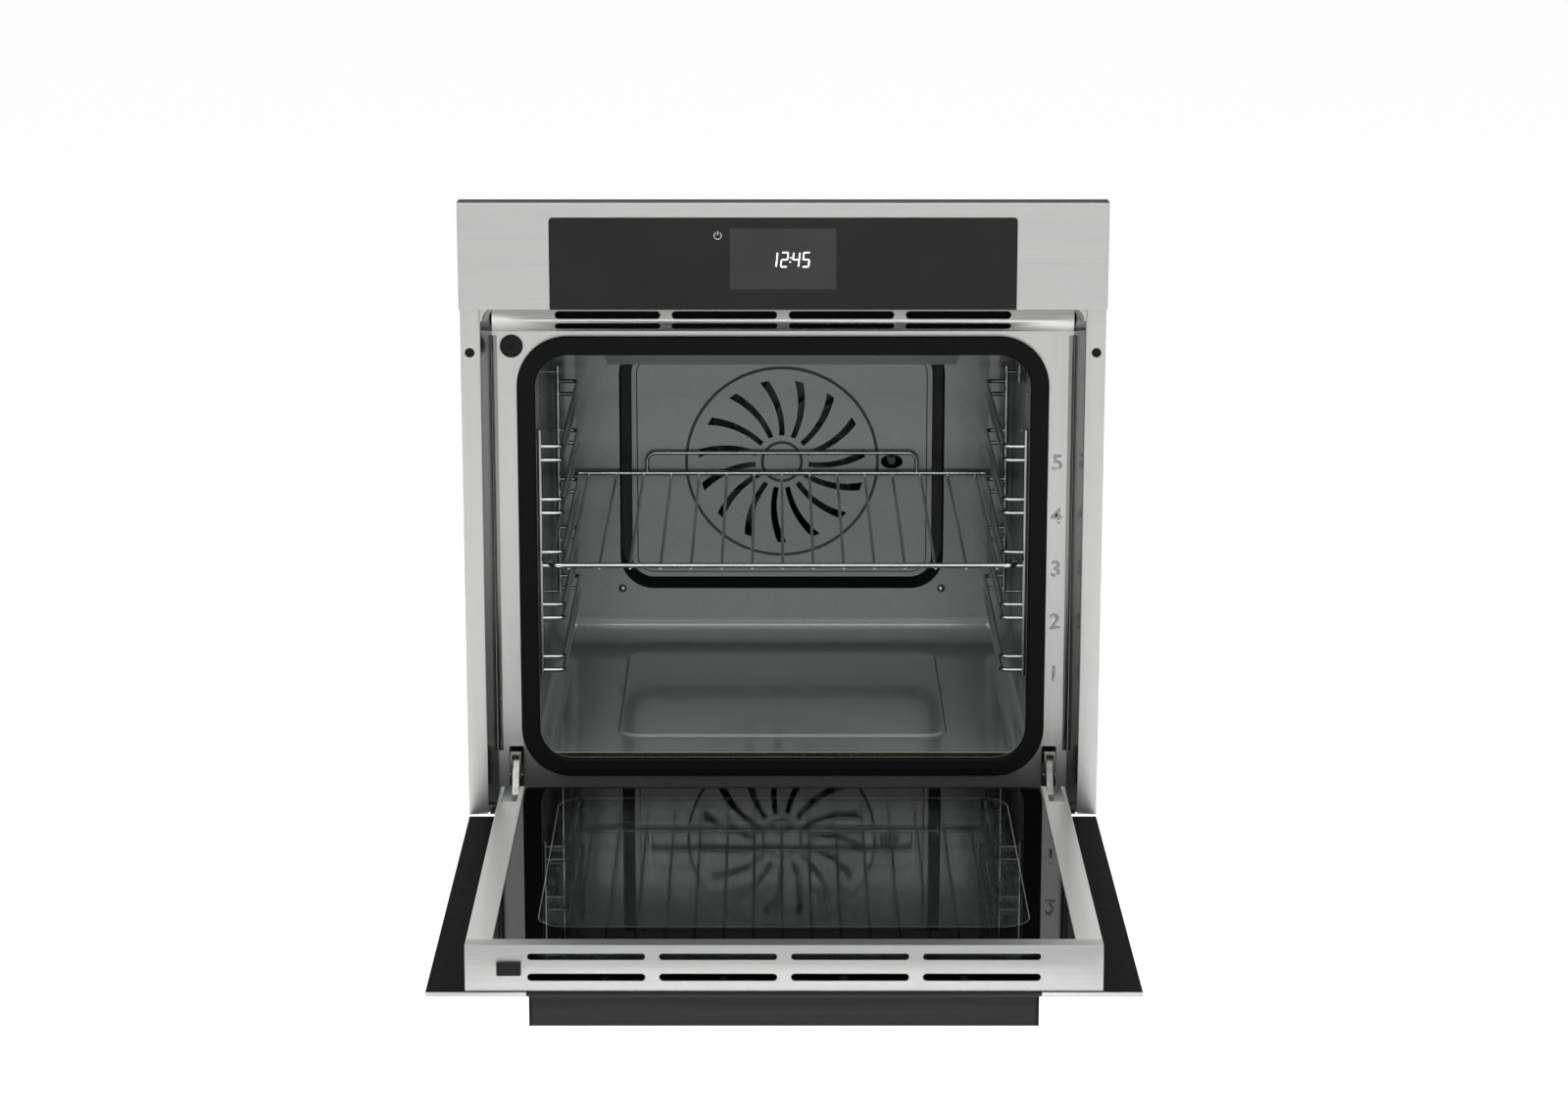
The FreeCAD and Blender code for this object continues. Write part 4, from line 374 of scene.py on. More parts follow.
@dataclass(frozen=True)
class PrintedPane(Finish):
    """Inner door pane: clear window inside a printed black border with round corners.

    Attributes:
        centre: Middle of the window in the plane of the pane.
        half: Half sizes of the window.
        corner: Corner radius of the window.
        blur: Width of the print's soft edge.
        index: Refractive index.
    """

    centre: tuple[float, float] = (0.0, 0.0)
    half: tuple[float, float] = (0.2, 0.2)
    corner: float = 0.03
    blur: float = 0.0006
    index: float = 1.16

    def weave(self, tree: NodeTree, shader: Node) -> None:
        """Lay the pattern into the shader."""
        feed(shader, {"IOR": self.index, "Roughness": self.roughness})
        place = add_node(tree, "ShaderNodeTexCoord").outputs["Object"]
        inner = (self.half[0] - self.corner, self.half[1] - self.corner, 10.0)
        for operation, other in (("SUBTRACT", (*self.centre, 0)), ("ABSOLUTE", (0, 0, 0)),
                                 ("SUBTRACT", inner), ("MAXIMUM", (0, 0, 0)), ("LENGTH", (0, 0, 0))):
            step = add_node(tree, "ShaderNodeVectorMath", {0: place, 1: other}, operation=operation)
            place = step.outputs[0]
        inside = add_node(tree, "ShaderNodeMapRange", {
            "Value": step.outputs["Value"], "From Min": self.corner - self.blur, "From Max": self.corner,
            "To Min": 1.0, "To Max": 0.0})
        self.tint(tree, shader, inside.outputs[0], 0.0, 1.0)
        feed(shader, {"Transmission Weight": inside.outputs[0]})


@dataclass(frozen=True)
class Glow(Finish):
    """Even light with soft grain behind glass: the lit display segments, and the printed mark's faint painted
    glow.

    Attributes:
        power: Strength of the light.
        grain_mm: Size of the grain.
    """

    power: float = 1.0
    grain_mm: float = 0.5

    def weave(self, tree: NodeTree, shader: Node) -> None:
        """Lay the pattern into the shader."""
        grain = noise(tree, self.grain_mm)
        colour = ramp(tree, grain, ((0.3, self.dark), (0.7, self.light)))
        feed(shader, {"Base Color": colour, "Emission Color": colour, "Emission Strength": self.power,
                      "Roughness": self.roughness})


@dataclass(frozen=True)
class Laminate(Finish):
    """Green printed circuit board: solder mask over copper tracks.

    Attributes:
        track_mm: Pitch of the tracks.
    """

    track_mm: float = 3.0

    def weave(self, tree: NodeTree, shader: Node) -> None:
        """Lay the pattern into the shader."""
        mask = linear(self.dark)
        tracks = add_node(tree, "ShaderNodeTexBrick", {
            "Vector": stretched(tree), "Scale": 1 / (self.track_mm * 3 * MM), "Mortar Size": 0.12,
            "Color1": mask, "Color2": mask, "Mortar": linear(self.light)})
        feed(shader, {"Base Color": tracks.outputs["Color"]})
        self.roughen(tree, shader, tracks.outputs["Fac"], 0.1)


class Finishes:
    """The oven's finishes, each made once."""

    def __init__(self) -> None:
        """Make every finish."""
        # Stainless steel 1.4016, belt-ground crosswise: pale, soft lengthwise sheen.
        self.fascia = BrushedMetal("stainless_belt_ground", "A1A1A1", "AAAAA9", 0.36).build()
        # The same sheet with its grain running up the columns.
        self.upright = BrushedMetal("stainless_upright_grain", "ABABAA", "B5B5B4", 0.3, grain=Axis.Z).build()
        # Unground rolled sheet in the channels and the vent rail: smoother, with sharper reflections; the
        # channels' sheet is also darker, as painted shade on their walls, the coves and the level numbers'
        # raised sides.
        self.channel = BrushedMetal("stainless_painted_shade", "7C7C7C", "8C8C8B", 0.19, grain=Axis.Z).build()
        self.vent = BrushedMetal("stainless_vent_rail", "8E8E8D", "999998", 0.26).build()
        # Door rails: grain along the rail.
        self.rail = BrushedMetal("stainless_rail_grain", "B4B4B3", "C0C0BF", 0.32, grain=Axis.Y).build()
        # Pressed door cap: bright, satin.
        self.cap = BrushedMetal("stainless_door_cap", "969696", "A2A2A1", 0.36).build()
        # Zinc-coated casing sheet: grey crystals.
        self.zinc = SpangledZinc("galvanised_sheet", "7E8284", "929698", 0.4).build()
        # Vitreous enamel fired on steel: glassy dark grey with tiny flecks and faint orange peel.
        self.enamel = Coating("vitreous_grey_enamel", "4A4D4B", "585B59", 0.17, fleck_mm=0.9, wave_mm=22.0,
                              relief_mm=0.015, coat=0.25).build()
        # The same enamel, darker and duller, as painted shade: inside the fan chamber and in the fan cover's
        # pressed grooves.
        self.painted_shade_enamel = Coating("enamel_painted_shade", "1A1C1B", "262827", 0.4, fleck_mm=1.2, wave_mm=16.0,
                             relief_mm=0.03, specular=0.2).build()
        # Toughened glass printed black behind: deep and mirror smooth.
        self.black_glass = FloatGlass("black_printed_glass", "060606", "090909", 0.03, specular=0.28).build()
        # Outer door glass, the same print with the full mirror of bare glass.
        self.door_glass = FloatGlass("black_door_glass", "030303", "060606", 0.035, specular=0.3).build()
        # Ceramic print fired on the inner face of that glass: dead black and matt.
        self.door_print = Coating("black_ceramic_print", "010101", "030303", 0.6, fleck_mm=0.4,
                                  relief_mm=0.01, specular=0.03).build()
        # Display film: a dark grey polariser, less deep than the print.
        self.display = FloatGlass("display_film", "1C1C1C", "202020", 0.04, specular=0.2).build()
        # Acetal and PA66 mouldings: black, fine spark-eroded grain.
        self.plastic = Coating("moulded_black_pa66", "060606", "0E0E0E", 0.42, fleck_mm=0.6, relief_mm=0.03,
                               specular=0.1).build()
        # Silicone door seal: black, dull, slightly dusty.
        self.rubber = Coating("silicone_seal", "020202", "070707", 0.5, fleck_mm=0.7, relief_mm=0.03,
                              specular=0.06).build()
        # Dead black as painted shade: the fascia's upper flange and the air duct.
        self.painted_black_shade = Coating("black_lacquer", "020202", "060606", 0.45, fleck_mm=0.5, relief_mm=0.01,
                               specular=0.04).build()
        # Black silicone hose.
        self.hose = Coating("silicone_hose", "1A1A1A", "262626", 0.5, relief_mm=0.03, sheen=0.1).build()
        # Steatite lamp holder: off-white, eggshell.
        self.ceramic = Coating("steatite_ceramic", "CFCABC", "E4E0D4", 0.45, relief_mm=0.04).build()
        # Mineral wool: yellow-grey fibres.
        self.wool = Coating("mineral_wool", "8C7F5A", "C9BE96", 0.95, fleck_mm=2.2, wave_mm=24.0,
                            relief_mm=1.2, swing=0.03, sheen=0.4, specular=0.1).build()
        # Bright chromium plate on wire.
        self.chrome = PlainMetal("chromium_plate", "8E9090", "ACAEAE", 0.16, dent_mm=0.01).build()
        # Zinc-plated screws, pins and shafts.
        self.screw = PlainMetal("zinc_plated_steel", "8A8C8C", "B4B6B6", 0.3).build()
        # Oxidised Incoloy sheath of a heating element: dark olive grey.
        self.sheath = PlainMetal("oxidised_incoloy", "2C2A27", "4A4741", 0.45, cloud_mm=18.0).build()
        # Rolled stainless of the fan wheel.
        self.wheel = PlainMetal("rolled_stainless", "3E4040", "5A5C5C", 0.35).build()
        # Phosphated iron of a motor's stack.
        self.iron = PlainMetal("phosphated_iron", "3B3C3D", "5B5C5D", 0.5, cloud_mm=12.0).build()
        # Zinc-plated hinge stampings, a little darker than the screws.
        self.hinge = PlainMetal("hinge_stamping", "5A5A5A", "8A8A88", 0.26, cloud_mm=9.0).build()
        # Drawn spring wire, oiled.
        self.spring = PlainMetal("oiled_spring_wire", "4B4A48", "6E6D6A", 0.3).build()
        # Handle: aluminium, brushed and anodised almost black.
        self.handle = BrushedMetal("black_anodised_aluminium", "1C1C1C", "2B2B2B", 0.36).build()
        # Lamp lens of borosilicate glass.
        self.lens = FloatGlass("borosilicate_lens", "F4F6F4", "FFFFFF", 0.02, clear=1.0).build()
        # Middle panes with a heat-reflecting layer.
        self.middle = FloatGlass("coated_middle_pane", "C6C8C7", "D0D2D1", 0.015, clear=0.95,
                                 index=1.3).build()
        # Lit digits.
        self.digits = Glow("lit_display_segment", "F2F4F6", "FFFFFF", 0.4, power=1.1).build()
        # Printed white mark, dimmed by the glass, with a faint painted glow.
        self.print = Glow("printed_mark_painted_glow", "8E8E8E", "A2A2A2", 0.4, power=0.18).build()
        # Circuit board.
        self.board = Laminate("green_solder_mask", "0E3B22", "1F6B3C", 0.35).build()


# Modelling helpers
def row(across: float, depth: float, height: float) -> Vector:
    """Row point from millimetres across, behind the fascia's face and above the front's lower edge."""
    near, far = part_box("control_fascia")
    return Vector((across * MM, near.y + depth * MM, far.z + (height - FRONT_HEIGHT) * MM))


def sided(stem: str, side: int) -> str:
    """Name with its side, -1 for left and 1 for right."""
    return stem + ("_left" if side < 0 else "_right")


def clear_selection() -> None:
    """Leave edit mode and deselect everything."""
    if bpy.context.object and bpy.context.object.mode != "OBJECT":
        leave_edit()
    bpy.ops.object.select_all(action="DESELECT")


def enter_edit(action: str = "SELECT") -> None:
    """Enter edit mode with everything selected, or nothing for DESELECT."""
    bpy.ops.object.mode_set(mode="EDIT")
    bpy.ops.mesh.select_all(action=action)


def leave_edit() -> None:
    """Return to object mode."""
    bpy.ops.object.mode_set(mode="OBJECT")


def pick(piece: Object) -> None:
    """Select one object alone and make it active."""
    clear_selection()
    piece.select_set(True)
    bpy.context.view_layer.objects.active = piece


def join(pieces: list[Object]) -> Object:
    """Join objects into the first of them."""
    clear_selection()
    for piece in pieces:
        piece.select_set(True)
    bpy.context.view_layer.objects.active = pieces[0]
    bpy.ops.object.join()
    return bpy.context.object


def bake_place(piece: Object) -> None:
    """Move an object's place, turn and scale into its mesh."""
    pick(piece)
    bpy.ops.object.transform_apply(location=True, rotation=True, scale=True)


def apply_modifier(piece: Object, kind: str, **settings) -> None:
    """Add a modifier and apply it at once.

    Args:
        piece: Object that gets the modifier.
        kind: Blender's identifier of the modifier.
        settings: Properties of the modifier.
    """
    pick(piece)
    modifier = piece.modifiers.new(kind.lower(), kind)
    for key, value in settings.items():
        setattr(modifier, key, value)
    bpy.ops.object.modifier_apply(modifier=modifier.name)


def choose_faces(piece: Object, test: FaceTest) -> None:
    """Select the faces that pass a test, and enter edit mode.

    Args:
        piece: Object to edit.
        test: Says whether a face is wanted.
    """
    pick(piece)
    for element in (*piece.data.vertices, *piece.data.edges):
        element.select = False
    for face in piece.data.polygons:
        face.select = test(face)
    bpy.ops.object.mode_set(mode="EDIT")
    bpy.ops.mesh.select_mode(type="FACE")


def smooth(piece: Object, degrees: float = 35.0) -> None:
    """Shade smooth apart from edges sharper than an angle."""
    pick(piece)
    bpy.ops.object.shade_smooth_by_angle(angle=math.radians(degrees))


def bent_sheet(tube: Object, away: FaceTest, thick_mm: float) -> Object:
    """Cut a tube down to one bend of sheet.

    Args:
        tube: Open tube or cone.
        away: Says whether a face is taken away.
        thick_mm: Thickness of the sheet.
    Returns:
        The bend.
    """
    bake_place(tube)
    choose_faces(tube, away)
    bpy.ops.mesh.delete(type="FACE")
    leave_edit()
    apply_modifier(tube, "SOLIDIFY", thickness=thick_mm * MM, offset=0.0)
    smooth(tube)
    return tube


def copied(node: str) -> Object:
    """Copy a frame node, weld it and leave it in edit mode with everything selected."""
    mesh = NODES[node].data.copy()
    mesh.materials.clear()
    piece = bpy.data.objects.new(node + "_finished", mesh)
    bpy.context.scene.collection.objects.link(piece)
    pick(piece)
    bpy.ops.mesh.customdata_custom_splitnormals_clear()
    enter_edit()
    bpy.ops.mesh.remove_doubles(threshold=WELD_MM * MM)
    return piece


def settle(piece: Object, name: str, body: str, slot: str, material: Material) -> Object:
    """Name a finished piece, move its place into its mesh, dress it and put it on its body.

    Args:
        piece: Finished object.
        name: Name of the piece.
        body: CAD body that it rides on.
        slot: Not used.
        material: Finish.
    Returns:
        The same object.
    """
    bake_place(piece)
    piece.name = piece.data.name = name
    if not piece.data.materials:
        piece.data.materials.append(material)
    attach(piece, body)
    LOG.info("%s: %d faces on %s", name, len(piece.data.polygons), body)
    return piece


def round_folds(piece: Object, folds: EdgeTest, width_mm: float) -> None:
    """Round the chosen edges of a sheet with a wide bend.

    Args:
        piece: Object to edit.
        folds: Says from its two ends whether an edge is a fold.
        width_mm: Width of the rounding.
    """
    choose_faces(piece, lambda face: False)
    bpy.ops.mesh.select_mode(type="EDGE")
    leave_edit()
    for edge in piece.data.edges:
        edge.select = folds(*(piece.data.vertices[index].co for index in edge.vertices))
    bpy.ops.object.mode_set(mode="EDIT")
    bpy.ops.mesh.bevel(offset=width_mm * MM, segments=6, affect="EDGES")
    leave_edit()


def softened(node: str, width_mm: float, segments: int = 2, degrees: float = 32.0,
             folds: Optional[EdgeTest] = None, fold_mm: float = 2.4) -> Object:
    """Copy a frame node, weld it and round its edges.

    Args:
        node: CAD node to copy.
        width_mm: Width of the rounding.
        segments: Facets across the rounding.
        degrees: Only edges sharper than this are rounded.
        folds: Says from its two ends whether an edge is a wide sheet fold.
        fold_mm: Width of the rounding of a sheet fold.
    Returns:
        The rounded copy, not yet on a body.
    """
    piece = copied(node)
    bpy.ops.mesh.dissolve_limited(angle_limit=math.radians(0.6))
    leave_edit()
    if folds:
        round_folds(piece, folds, fold_mm)
    apply_modifier(piece, "BEVEL", width=width_mm * MM, segments=segments, limit_method="ANGLE",
                   angle_limit=math.radians(degrees), use_clamp_overlap=True, miter_outer="MITER_ARC")
    smooth(piece)
    apply_modifier(piece, "WEIGHTED_NORMAL", keep_sharp=True)
    return piece


def stand_in(node: str, width_mm: float, body: str, slot: str, material: Material, segments: int = 2,
             folds: Optional[EdgeTest] = None) -> Object:
    """Replace a frame node by its own rounded copy.

    Args:
        node: CAD node to replace.
        width_mm: Width of the rounding.
        body: CAD body that it rides on.
        slot: Passed to settle, which does not use it.
        material: Finish.
        segments: Facets across the rounding.
        folds: Says from its two ends whether an edge is a wide sheet fold.
    Returns:
        The finished piece.
    """
    piece = settle(softened(node, width_mm, segments, folds=folds), node + "_finished", body, slot, material)
    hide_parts(node)
    return piece


def block(low: Vector, high: Vector, width_mm: float, segments: int = 2) -> Object:
    """Block between two corners with rounded edges.

    Args:
        low: Lowest corner.
        high: Highest corner.
        width_mm: Width of the rounding.
        segments: Facets across the rounding.
    Returns:
        The block.
    """
    clear_selection()
    bpy.ops.mesh.primitive_cube_add(size=1, location=(low + high) / 2, scale=high - low)
    piece = bpy.context.object
    bake_place(piece)
    enter_edit()
    bpy.ops.mesh.bevel(offset=width_mm * MM, segments=segments, affect="EDGES")
    leave_edit()
    smooth(piece)
    return piece


def repaint(piece: Object, material: Material, test: FaceTest) -> None:
    """Give the faces that pass a test one more finish.

    Args:
        piece: Object to dress.
        material: Finish to add.
        test: Says whether a face gets it.
    """
    piece.data.materials.append(material)
    for face in piece.data.polygons:
        if test(face):
            face.material_index = len(piece.data.materials) - 1


def dress(finish: Material, *nodes: str) -> None:
    """Give frame nodes a finish in every material slot."""
    for node in nodes:
        data = NODES[node].data
        if not data.materials:
            data.materials.append(finish)
        for index in range(len(data.materials)):
            data.materials[index] = finish


# Sub-assemblies
@dataclass
class SubAssembly:
    """Group of pieces that share the oven's finishes.

    Attributes:
        look: The oven's finishes.
    """

    look: Finishes


@dataclass
class ControlPanel(SubAssembly):
    """Fascia, its glass and the lit display.

    Attributes:
        digit_height: Height of a clock digit, in millimetres.
        digit_width: Width of a clock digit.
        stroke: Width of a segment.
        lean: Slant of the digits, as width over height.
        clock_across: Middle of the clock across the oven.
        clock_height: Middle of the clock above the front's lower edge.
        flange: Height of the band on the fascia's top that is painted black as shade.
    """

    digit_height: float = 14.2
    digit_width: float = 6.6
    stroke: float = 1.0
    lean: float = 0.1
    clock_across: float = 6.6
    clock_height: float = 541.4
    flange: float = 1.2
    glyphs: dict = field(default_factory=lambda: {"1": "bc", "2": "abged", "4": "fgbc", "5": "afgcd"})
    places: tuple = (("1", -18.0), ("2", -8.2), ("4", 2.4), ("5", 11.6))

    def build(self) -> None:
        """Make and dress the panel's pieces."""
        fascia = stand_in("control_fascia", 0.7, "oven", "brushed_steel", self.look.fascia, 3)
        top = max(vertex.co.z for vertex in fascia.data.vertices)
        # Painted shade: the fascia's top faces are dead black.
        repaint(fascia, self.look.painted_black_shade,
                lambda face: face.normal.z > 0.6 and face.center.z > top - self.flange * MM)
        stand_in("control_glass", 0.35, "oven", "black_glass", self.look.black_glass, 2)
        self.display()
        self.clock()
        self.power_mark()
        dress(self.look.plastic, "fascia_carrier")
        dress(self.look.board, "control_board")

    def display(self) -> None:
        """Make the display film, a hair proud of the glass."""
        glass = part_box("control_glass")
        middle = row(0, 0, 541.9)
        low = Vector((-48.5 * MM, glass[0].y - 0.12 * MM, middle.z - 28.1 * MM))
        high = Vector((48.5 * MM, glass[0].y + 0.3 * MM, middle.z + 28.1 * MM))
        piece = block(low, high, 0.1, 1)
        settle(piece, "display_film", "oven", "black_glass", self.look.display)

    def segment(self, start: Vector, end: Vector) -> Object:
        """Make one pointed segment bar between two points in the clock's plane.

        Args:
            start: First end, in millimetres across and up.
            end: Second end.
        Returns:
            The segment, at its place.
        """
        span = end - start
        length = span.length - 0.25
        clear_selection()
        bpy.ops.mesh.primitive_cube_add(size=1, scale=(length * MM, 0.16 * MM, self.stroke * MM))
        bar = bpy.context.object
        bake_place(bar)
        enter_edit("DESELECT")
        leave_edit()
        for edge in bar.data.edges:
            ends = [bar.data.vertices[index].co for index in edge.vertices]
            edge.select = abs(ends[0].y - ends[1].y) > 0.05 * MM
        bpy.ops.object.mode_set(mode="EDIT")
        bpy.ops.mesh.select_mode(type="EDGE")
        bpy.ops.mesh.bevel(offset=self.stroke * 0.42 * MM, segments=1, affect="EDGES")
        leave_edit()
        middle = (start + end) / 2
        turn = Matrix.Rotation(-math.atan2(span.y, span.x), 4, "Y")
        bar.data.transform(Matrix.Translation((middle.x * MM, 0, middle.y * MM)) @ turn)
        return bar

    def clock(self) -> None:
        """Make the four clock digits and the colon as one piece."""
        wide, tall = self.digit_width - self.stroke, self.digit_height - self.stroke
        left, right, low, mid, high = 0.0, wide, 0.0, tall / 2, tall
        ends = {"a": (left, high, right, high), "b": (right, high, right, mid), "c": (right, mid, right, low),
                "d": (left, low, right, low), "e": (left, mid, left, low), "f": (left, high, left, mid),
                "g": (left, mid, right, mid)}
        bars = []
        for digit, offset in self.places:
            for letter in self.glyphs[digit]:
                x0, z0, x1, z1 = ends[letter]
                bars.append(self.segment(Vector((x0 + offset, z0)), Vector((x1 + offset, z1))))
        for level in (tall * 0.34, tall * 0.62):
            bars.append(self.segment(Vector((-0.85, level)), Vector((0.85, level))))
        piece = join(bars)
        slant = Matrix.Identity(4)
        slant[0][2] = self.lean
        piece.data.transform(slant)
        origin = row(self.clock_across, 0, self.clock_height - tall / 2)
        piece.data.transform(Matrix.Translation(origin - Vector((0.6 * MM, 0.16 * MM, 0))))
        settle(piece, "clock_digits", "oven", "black_glass", self.look.digits)

    def power_mark(self) -> None:
        """Make the ring and stroke of the power mark."""
        centre = row(-59.7, 0, 563.5)
        clear_selection()
        bpy.ops.mesh.primitive_torus_add(major_radius=3.3 * MM, minor_radius=0.24 * MM, major_segments=40,
                                         minor_segments=8, rotation=FACING_FRONT)
        ring = bpy.context.object
        bake_place(ring)
        choose_faces(ring, lambda face: face.center.z > 2.6 * MM)
        bpy.ops.mesh.delete(type="FACE")
        bpy.ops.mesh.select_mode(type="EDGE")
        bpy.ops.mesh.select_non_manifold()
        bpy.ops.mesh.edge_face_add()
        leave_edit()
        bar = block(Vector((-0.32, -0.32, 0.6)) * MM, Vector((0.32, 0.32, 4.2)) * MM, 0.12, 2)
        ring = join([ring, bar])
        ring.data.transform(Matrix.Translation(centre) @ Matrix.Diagonal((1, 0.4, 1, 1)))
        smooth(ring)
        # The printed mark gets a faint painted glow.
        settle(ring, "power_mark", "oven", "black_glass", self.look.print)


@dataclass
class FrontFrame(SubAssembly):
    """Pressed frame, vent rail, seal, valve and level numbers.

    Attributes:
        number_across: Middle of the level numbers.
        number_low: Middle of the lowest number.
        number_pitch: Distance between two levels.
        number_size: Height of the text.
        hole_across: Middle of a cabinet-screw hole.
        hole_height: Height of the cabinet-screw holes.
        corner_across: Centre of a recess corner's bend.
        corner_depth: Middle of the bend, behind the fascia's face.
        corner_height: Centre of the bend, above the front's lower edge.
        corner_front: Radius of the bend at its front end.
        corner_back: Radius of the bend at its rear end.
        corner_length: Length of the bend along the depth.
        spandrel_edge: Outer edge of the filler outside the bend.
        spandrel_depth: Its face behind the fascia's face.
        spandrel_top: Its upper edge, above the front's lower edge.
        cove_across: Centre of a channel's inner bend.
        cove_depth: Centre of that bend, behind the fascia's face.
        cove_radius: Radius of that bend.
        cove_low: Its lower end, above the front's lower edge.
        cove_high: Its upper end.
        column_face: Width of a column's face.
        outer_band: Width of the outer band that keeps the upright grain.
    """

    number_across: float = 257.5
    number_low: float = 135.0
    number_pitch: float = 51.3
    number_size: float = 21.0
    hole_across: float = 289.0
    hole_height: float = 452.4
    corner_across: float = 264.8
    corner_depth: float = 32.5
    corner_height: float = 482.0
    corner_front: float = 12.4
    corner_back: float = 7.2
    corner_length: float = 30.0
    spandrel_edge: float = 279.4
    spandrel_depth: float = 13.7
    spandrel_top: float = 494.4
    cove_across: float = 266.4
    cove_depth: float = 45.1
    cove_radius: float = 5.0
    cove_low: float = 60.0
    cove_high: float = 462.0
    column_face: float = 18.5
    outer_band: float = 12.0

    def build(self) -> None:
        """Make and dress the frame's pieces."""
        low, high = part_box("front_frame")
        reach, near, close = high.x, low.y, 0.3 * MM

        def folds(start: Vector, end: Vector) -> bool:
            """Tell the long inner edge of a column's face."""
            upright = abs(start.z - end.z) > 0.3
            inner = abs(abs(start.x) - reach + self.column_face * MM) < close
            return upright and inner and abs(start.y - near) < close

        pressed = stand_in("front_frame", 1.1, "oven", "pressed_steel", self.look.upright, 3, folds)
        # Painted shade: darker steel on the channels' side walls.
        repaint(pressed, self.look.channel, lambda face: abs(face.normal.x) > 0.8
                and abs(face.center.x) < reach - self.outer_band * MM)
        stand_in("vent_rail", 0.45, "oven", "pressed_steel", self.look.vent, 2)
        stand_in("door_gasket", 2.2, "oven", "seal_rubber", self.look.rubber, 4)
        stand_in("drain_valve", 0.7, "oven", "black_plastic", self.look.plastic, 3)
        for level in range(5):
            self.number(level)
        for side in (-1, 1):
            self.hole_cup(side)
            self.corner(side)
            self.cove(side)
            self.spandrel(side)

    def spandrel(self, side: int) -> None:
        """Fill the column's face outside a recess corner's bend.

        Args:
            side: -1 for left and 1 for right.
        """
        near, far = sorted((side * self.corner_across, side * self.spandrel_edge))
        filler = block(row(near, self.spandrel_depth, self.corner_height),
                       row(far, self.spandrel_depth + 1.0, self.spandrel_top), 0.1, 1)
        clear_selection()
        bpy.ops.mesh.primitive_cylinder_add(vertices=96, radius=self.corner_front * MM, depth=20 * MM,
                                            rotation=FACING_FRONT,
                                            location=row(side * self.corner_across, self.spandrel_depth,
                                                         self.corner_height))
        cutter = bpy.context.object
        apply_modifier(filler, "BOOLEAN", operation="DIFFERENCE", object=cutter, solver="EXACT")
        pick(cutter)
        bpy.ops.object.delete()
        smooth(filler)
        settle(filler, sided("recess_spandrel", side), "oven", "pressed_steel", self.look.upright)

    def cove(self, side: int) -> None:
        """Round the long inner corner between a channel's wall and the plate.

        Args:
            side: -1 for left and 1 for right.
        """
        centre = row(side * self.cove_across, self.cove_depth, (self.cove_low + self.cove_high) / 2)
        clear_selection()
        bpy.ops.mesh.primitive_cylinder_add(vertices=64, radius=self.cove_radius * MM,
                                            depth=(self.cove_high - self.cove_low) * MM,
                                            end_fill_type="NOTHING", location=centre)
        bend = bent_sheet(bpy.context.object, lambda face: (face.center.x - centre.x) * side < 0
                          or face.center.y < centre.y, 0.4)
        # The cove takes the channels' darker steel, painted shade.
        settle(bend, sided("channel_cove", side), "oven", "pressed_steel", self.look.channel)

    def corner(self, side: int) -> None:
        """Bend the quarter-round sheet that leads a channel into the vent recess.

        Args:
            side: -1 for left and 1 for right.
        """
        centre = row(side * self.corner_across, self.corner_depth, self.corner_height)
        clear_selection()
        bpy.ops.mesh.primitive_cone_add(vertices=96, radius1=self.corner_front * MM, end_fill_type="NOTHING",
                                        radius2=self.corner_back * MM, depth=self.corner_length * MM,
                                        rotation=(-math.pi / 2, 0, 0), location=centre)
        bend = bent_sheet(bpy.context.object, lambda face: (face.center.x - centre.x) * side < 0
                          or face.center.z < centre.z, 1.0)
        settle(bend, sided("recess_corner", side), "oven", "pressed_steel", self.look.vent)

    def hole_cup(self, side: int) -> None:
        """Close the space behind a cabinet-screw hole with a small black cup.

        Args:
            side: -1 for left and 1 for right.
        """
        clear_selection()
        bpy.ops.mesh.primitive_cylinder_add(vertices=32, radius=6.4 * MM, depth=3.2 * MM,
                                            end_fill_type="NGON", rotation=FACING_FRONT,
                                            location=row(side * self.hole_across, 16.5, self.hole_height))
        cup = bpy.context.object
        bake_place(cup)
        choose_faces(cup, lambda face: face.normal.y < -0.9)
        bpy.ops.mesh.inset(thickness=1.2 * MM)
        bpy.ops.transform.translate(value=(0, 2.2 * MM, 0))
        bpy.ops.mesh.select_all(action="SELECT")
        bpy.ops.mesh.bevel(offset=0.2 * MM, segments=2, affect="EDGES")
        leave_edit()
        smooth(cup)
        settle(cup, sided("screw_cup", side), "oven", "black_plastic", self.look.plastic)

    def number(self, level: int) -> None:
        """Emboss one level number.

        Args:
            level: Level counted from zero at the bottom.
        """
        clear_selection()
        bpy.ops.object.text_add(rotation=FACING_FRONT)
        text = bpy.context.object
        text.data.body = str(level + 1)
        text.data.size = self.number_size * MM
        text.data.align_x = "CENTER"
        text.data.align_y = "CENTER"
        text.data.extrude = 0.35 * MM
        text.data.bevel_depth = 0.35 * MM
        text.data.bevel_resolution = 2
        text.data.offset = 0.1 * MM
        bpy.ops.object.convert(target="MESH")
        piece = bpy.context.object
        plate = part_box("door_gasket")[1].y
        place = row(self.number_across, 0, self.number_low + level * self.number_pitch)
        piece.location = (place.x, plate - 0.1 * MM, place.z)
        enter_edit()
        bpy.ops.mesh.remove_doubles(threshold=0.002 * MM)
        leave_edit()
        smooth(piece)
        piece.data.materials.append(self.look.upright)
        # Painted shade: darker steel on the numbers' raised sides.
        repaint(piece, self.look.channel, lambda face: face.normal.y >= -0.85)
        settle(piece, f"level_number_{level + 1}", "oven", "pressed_steel", self.look.upright)


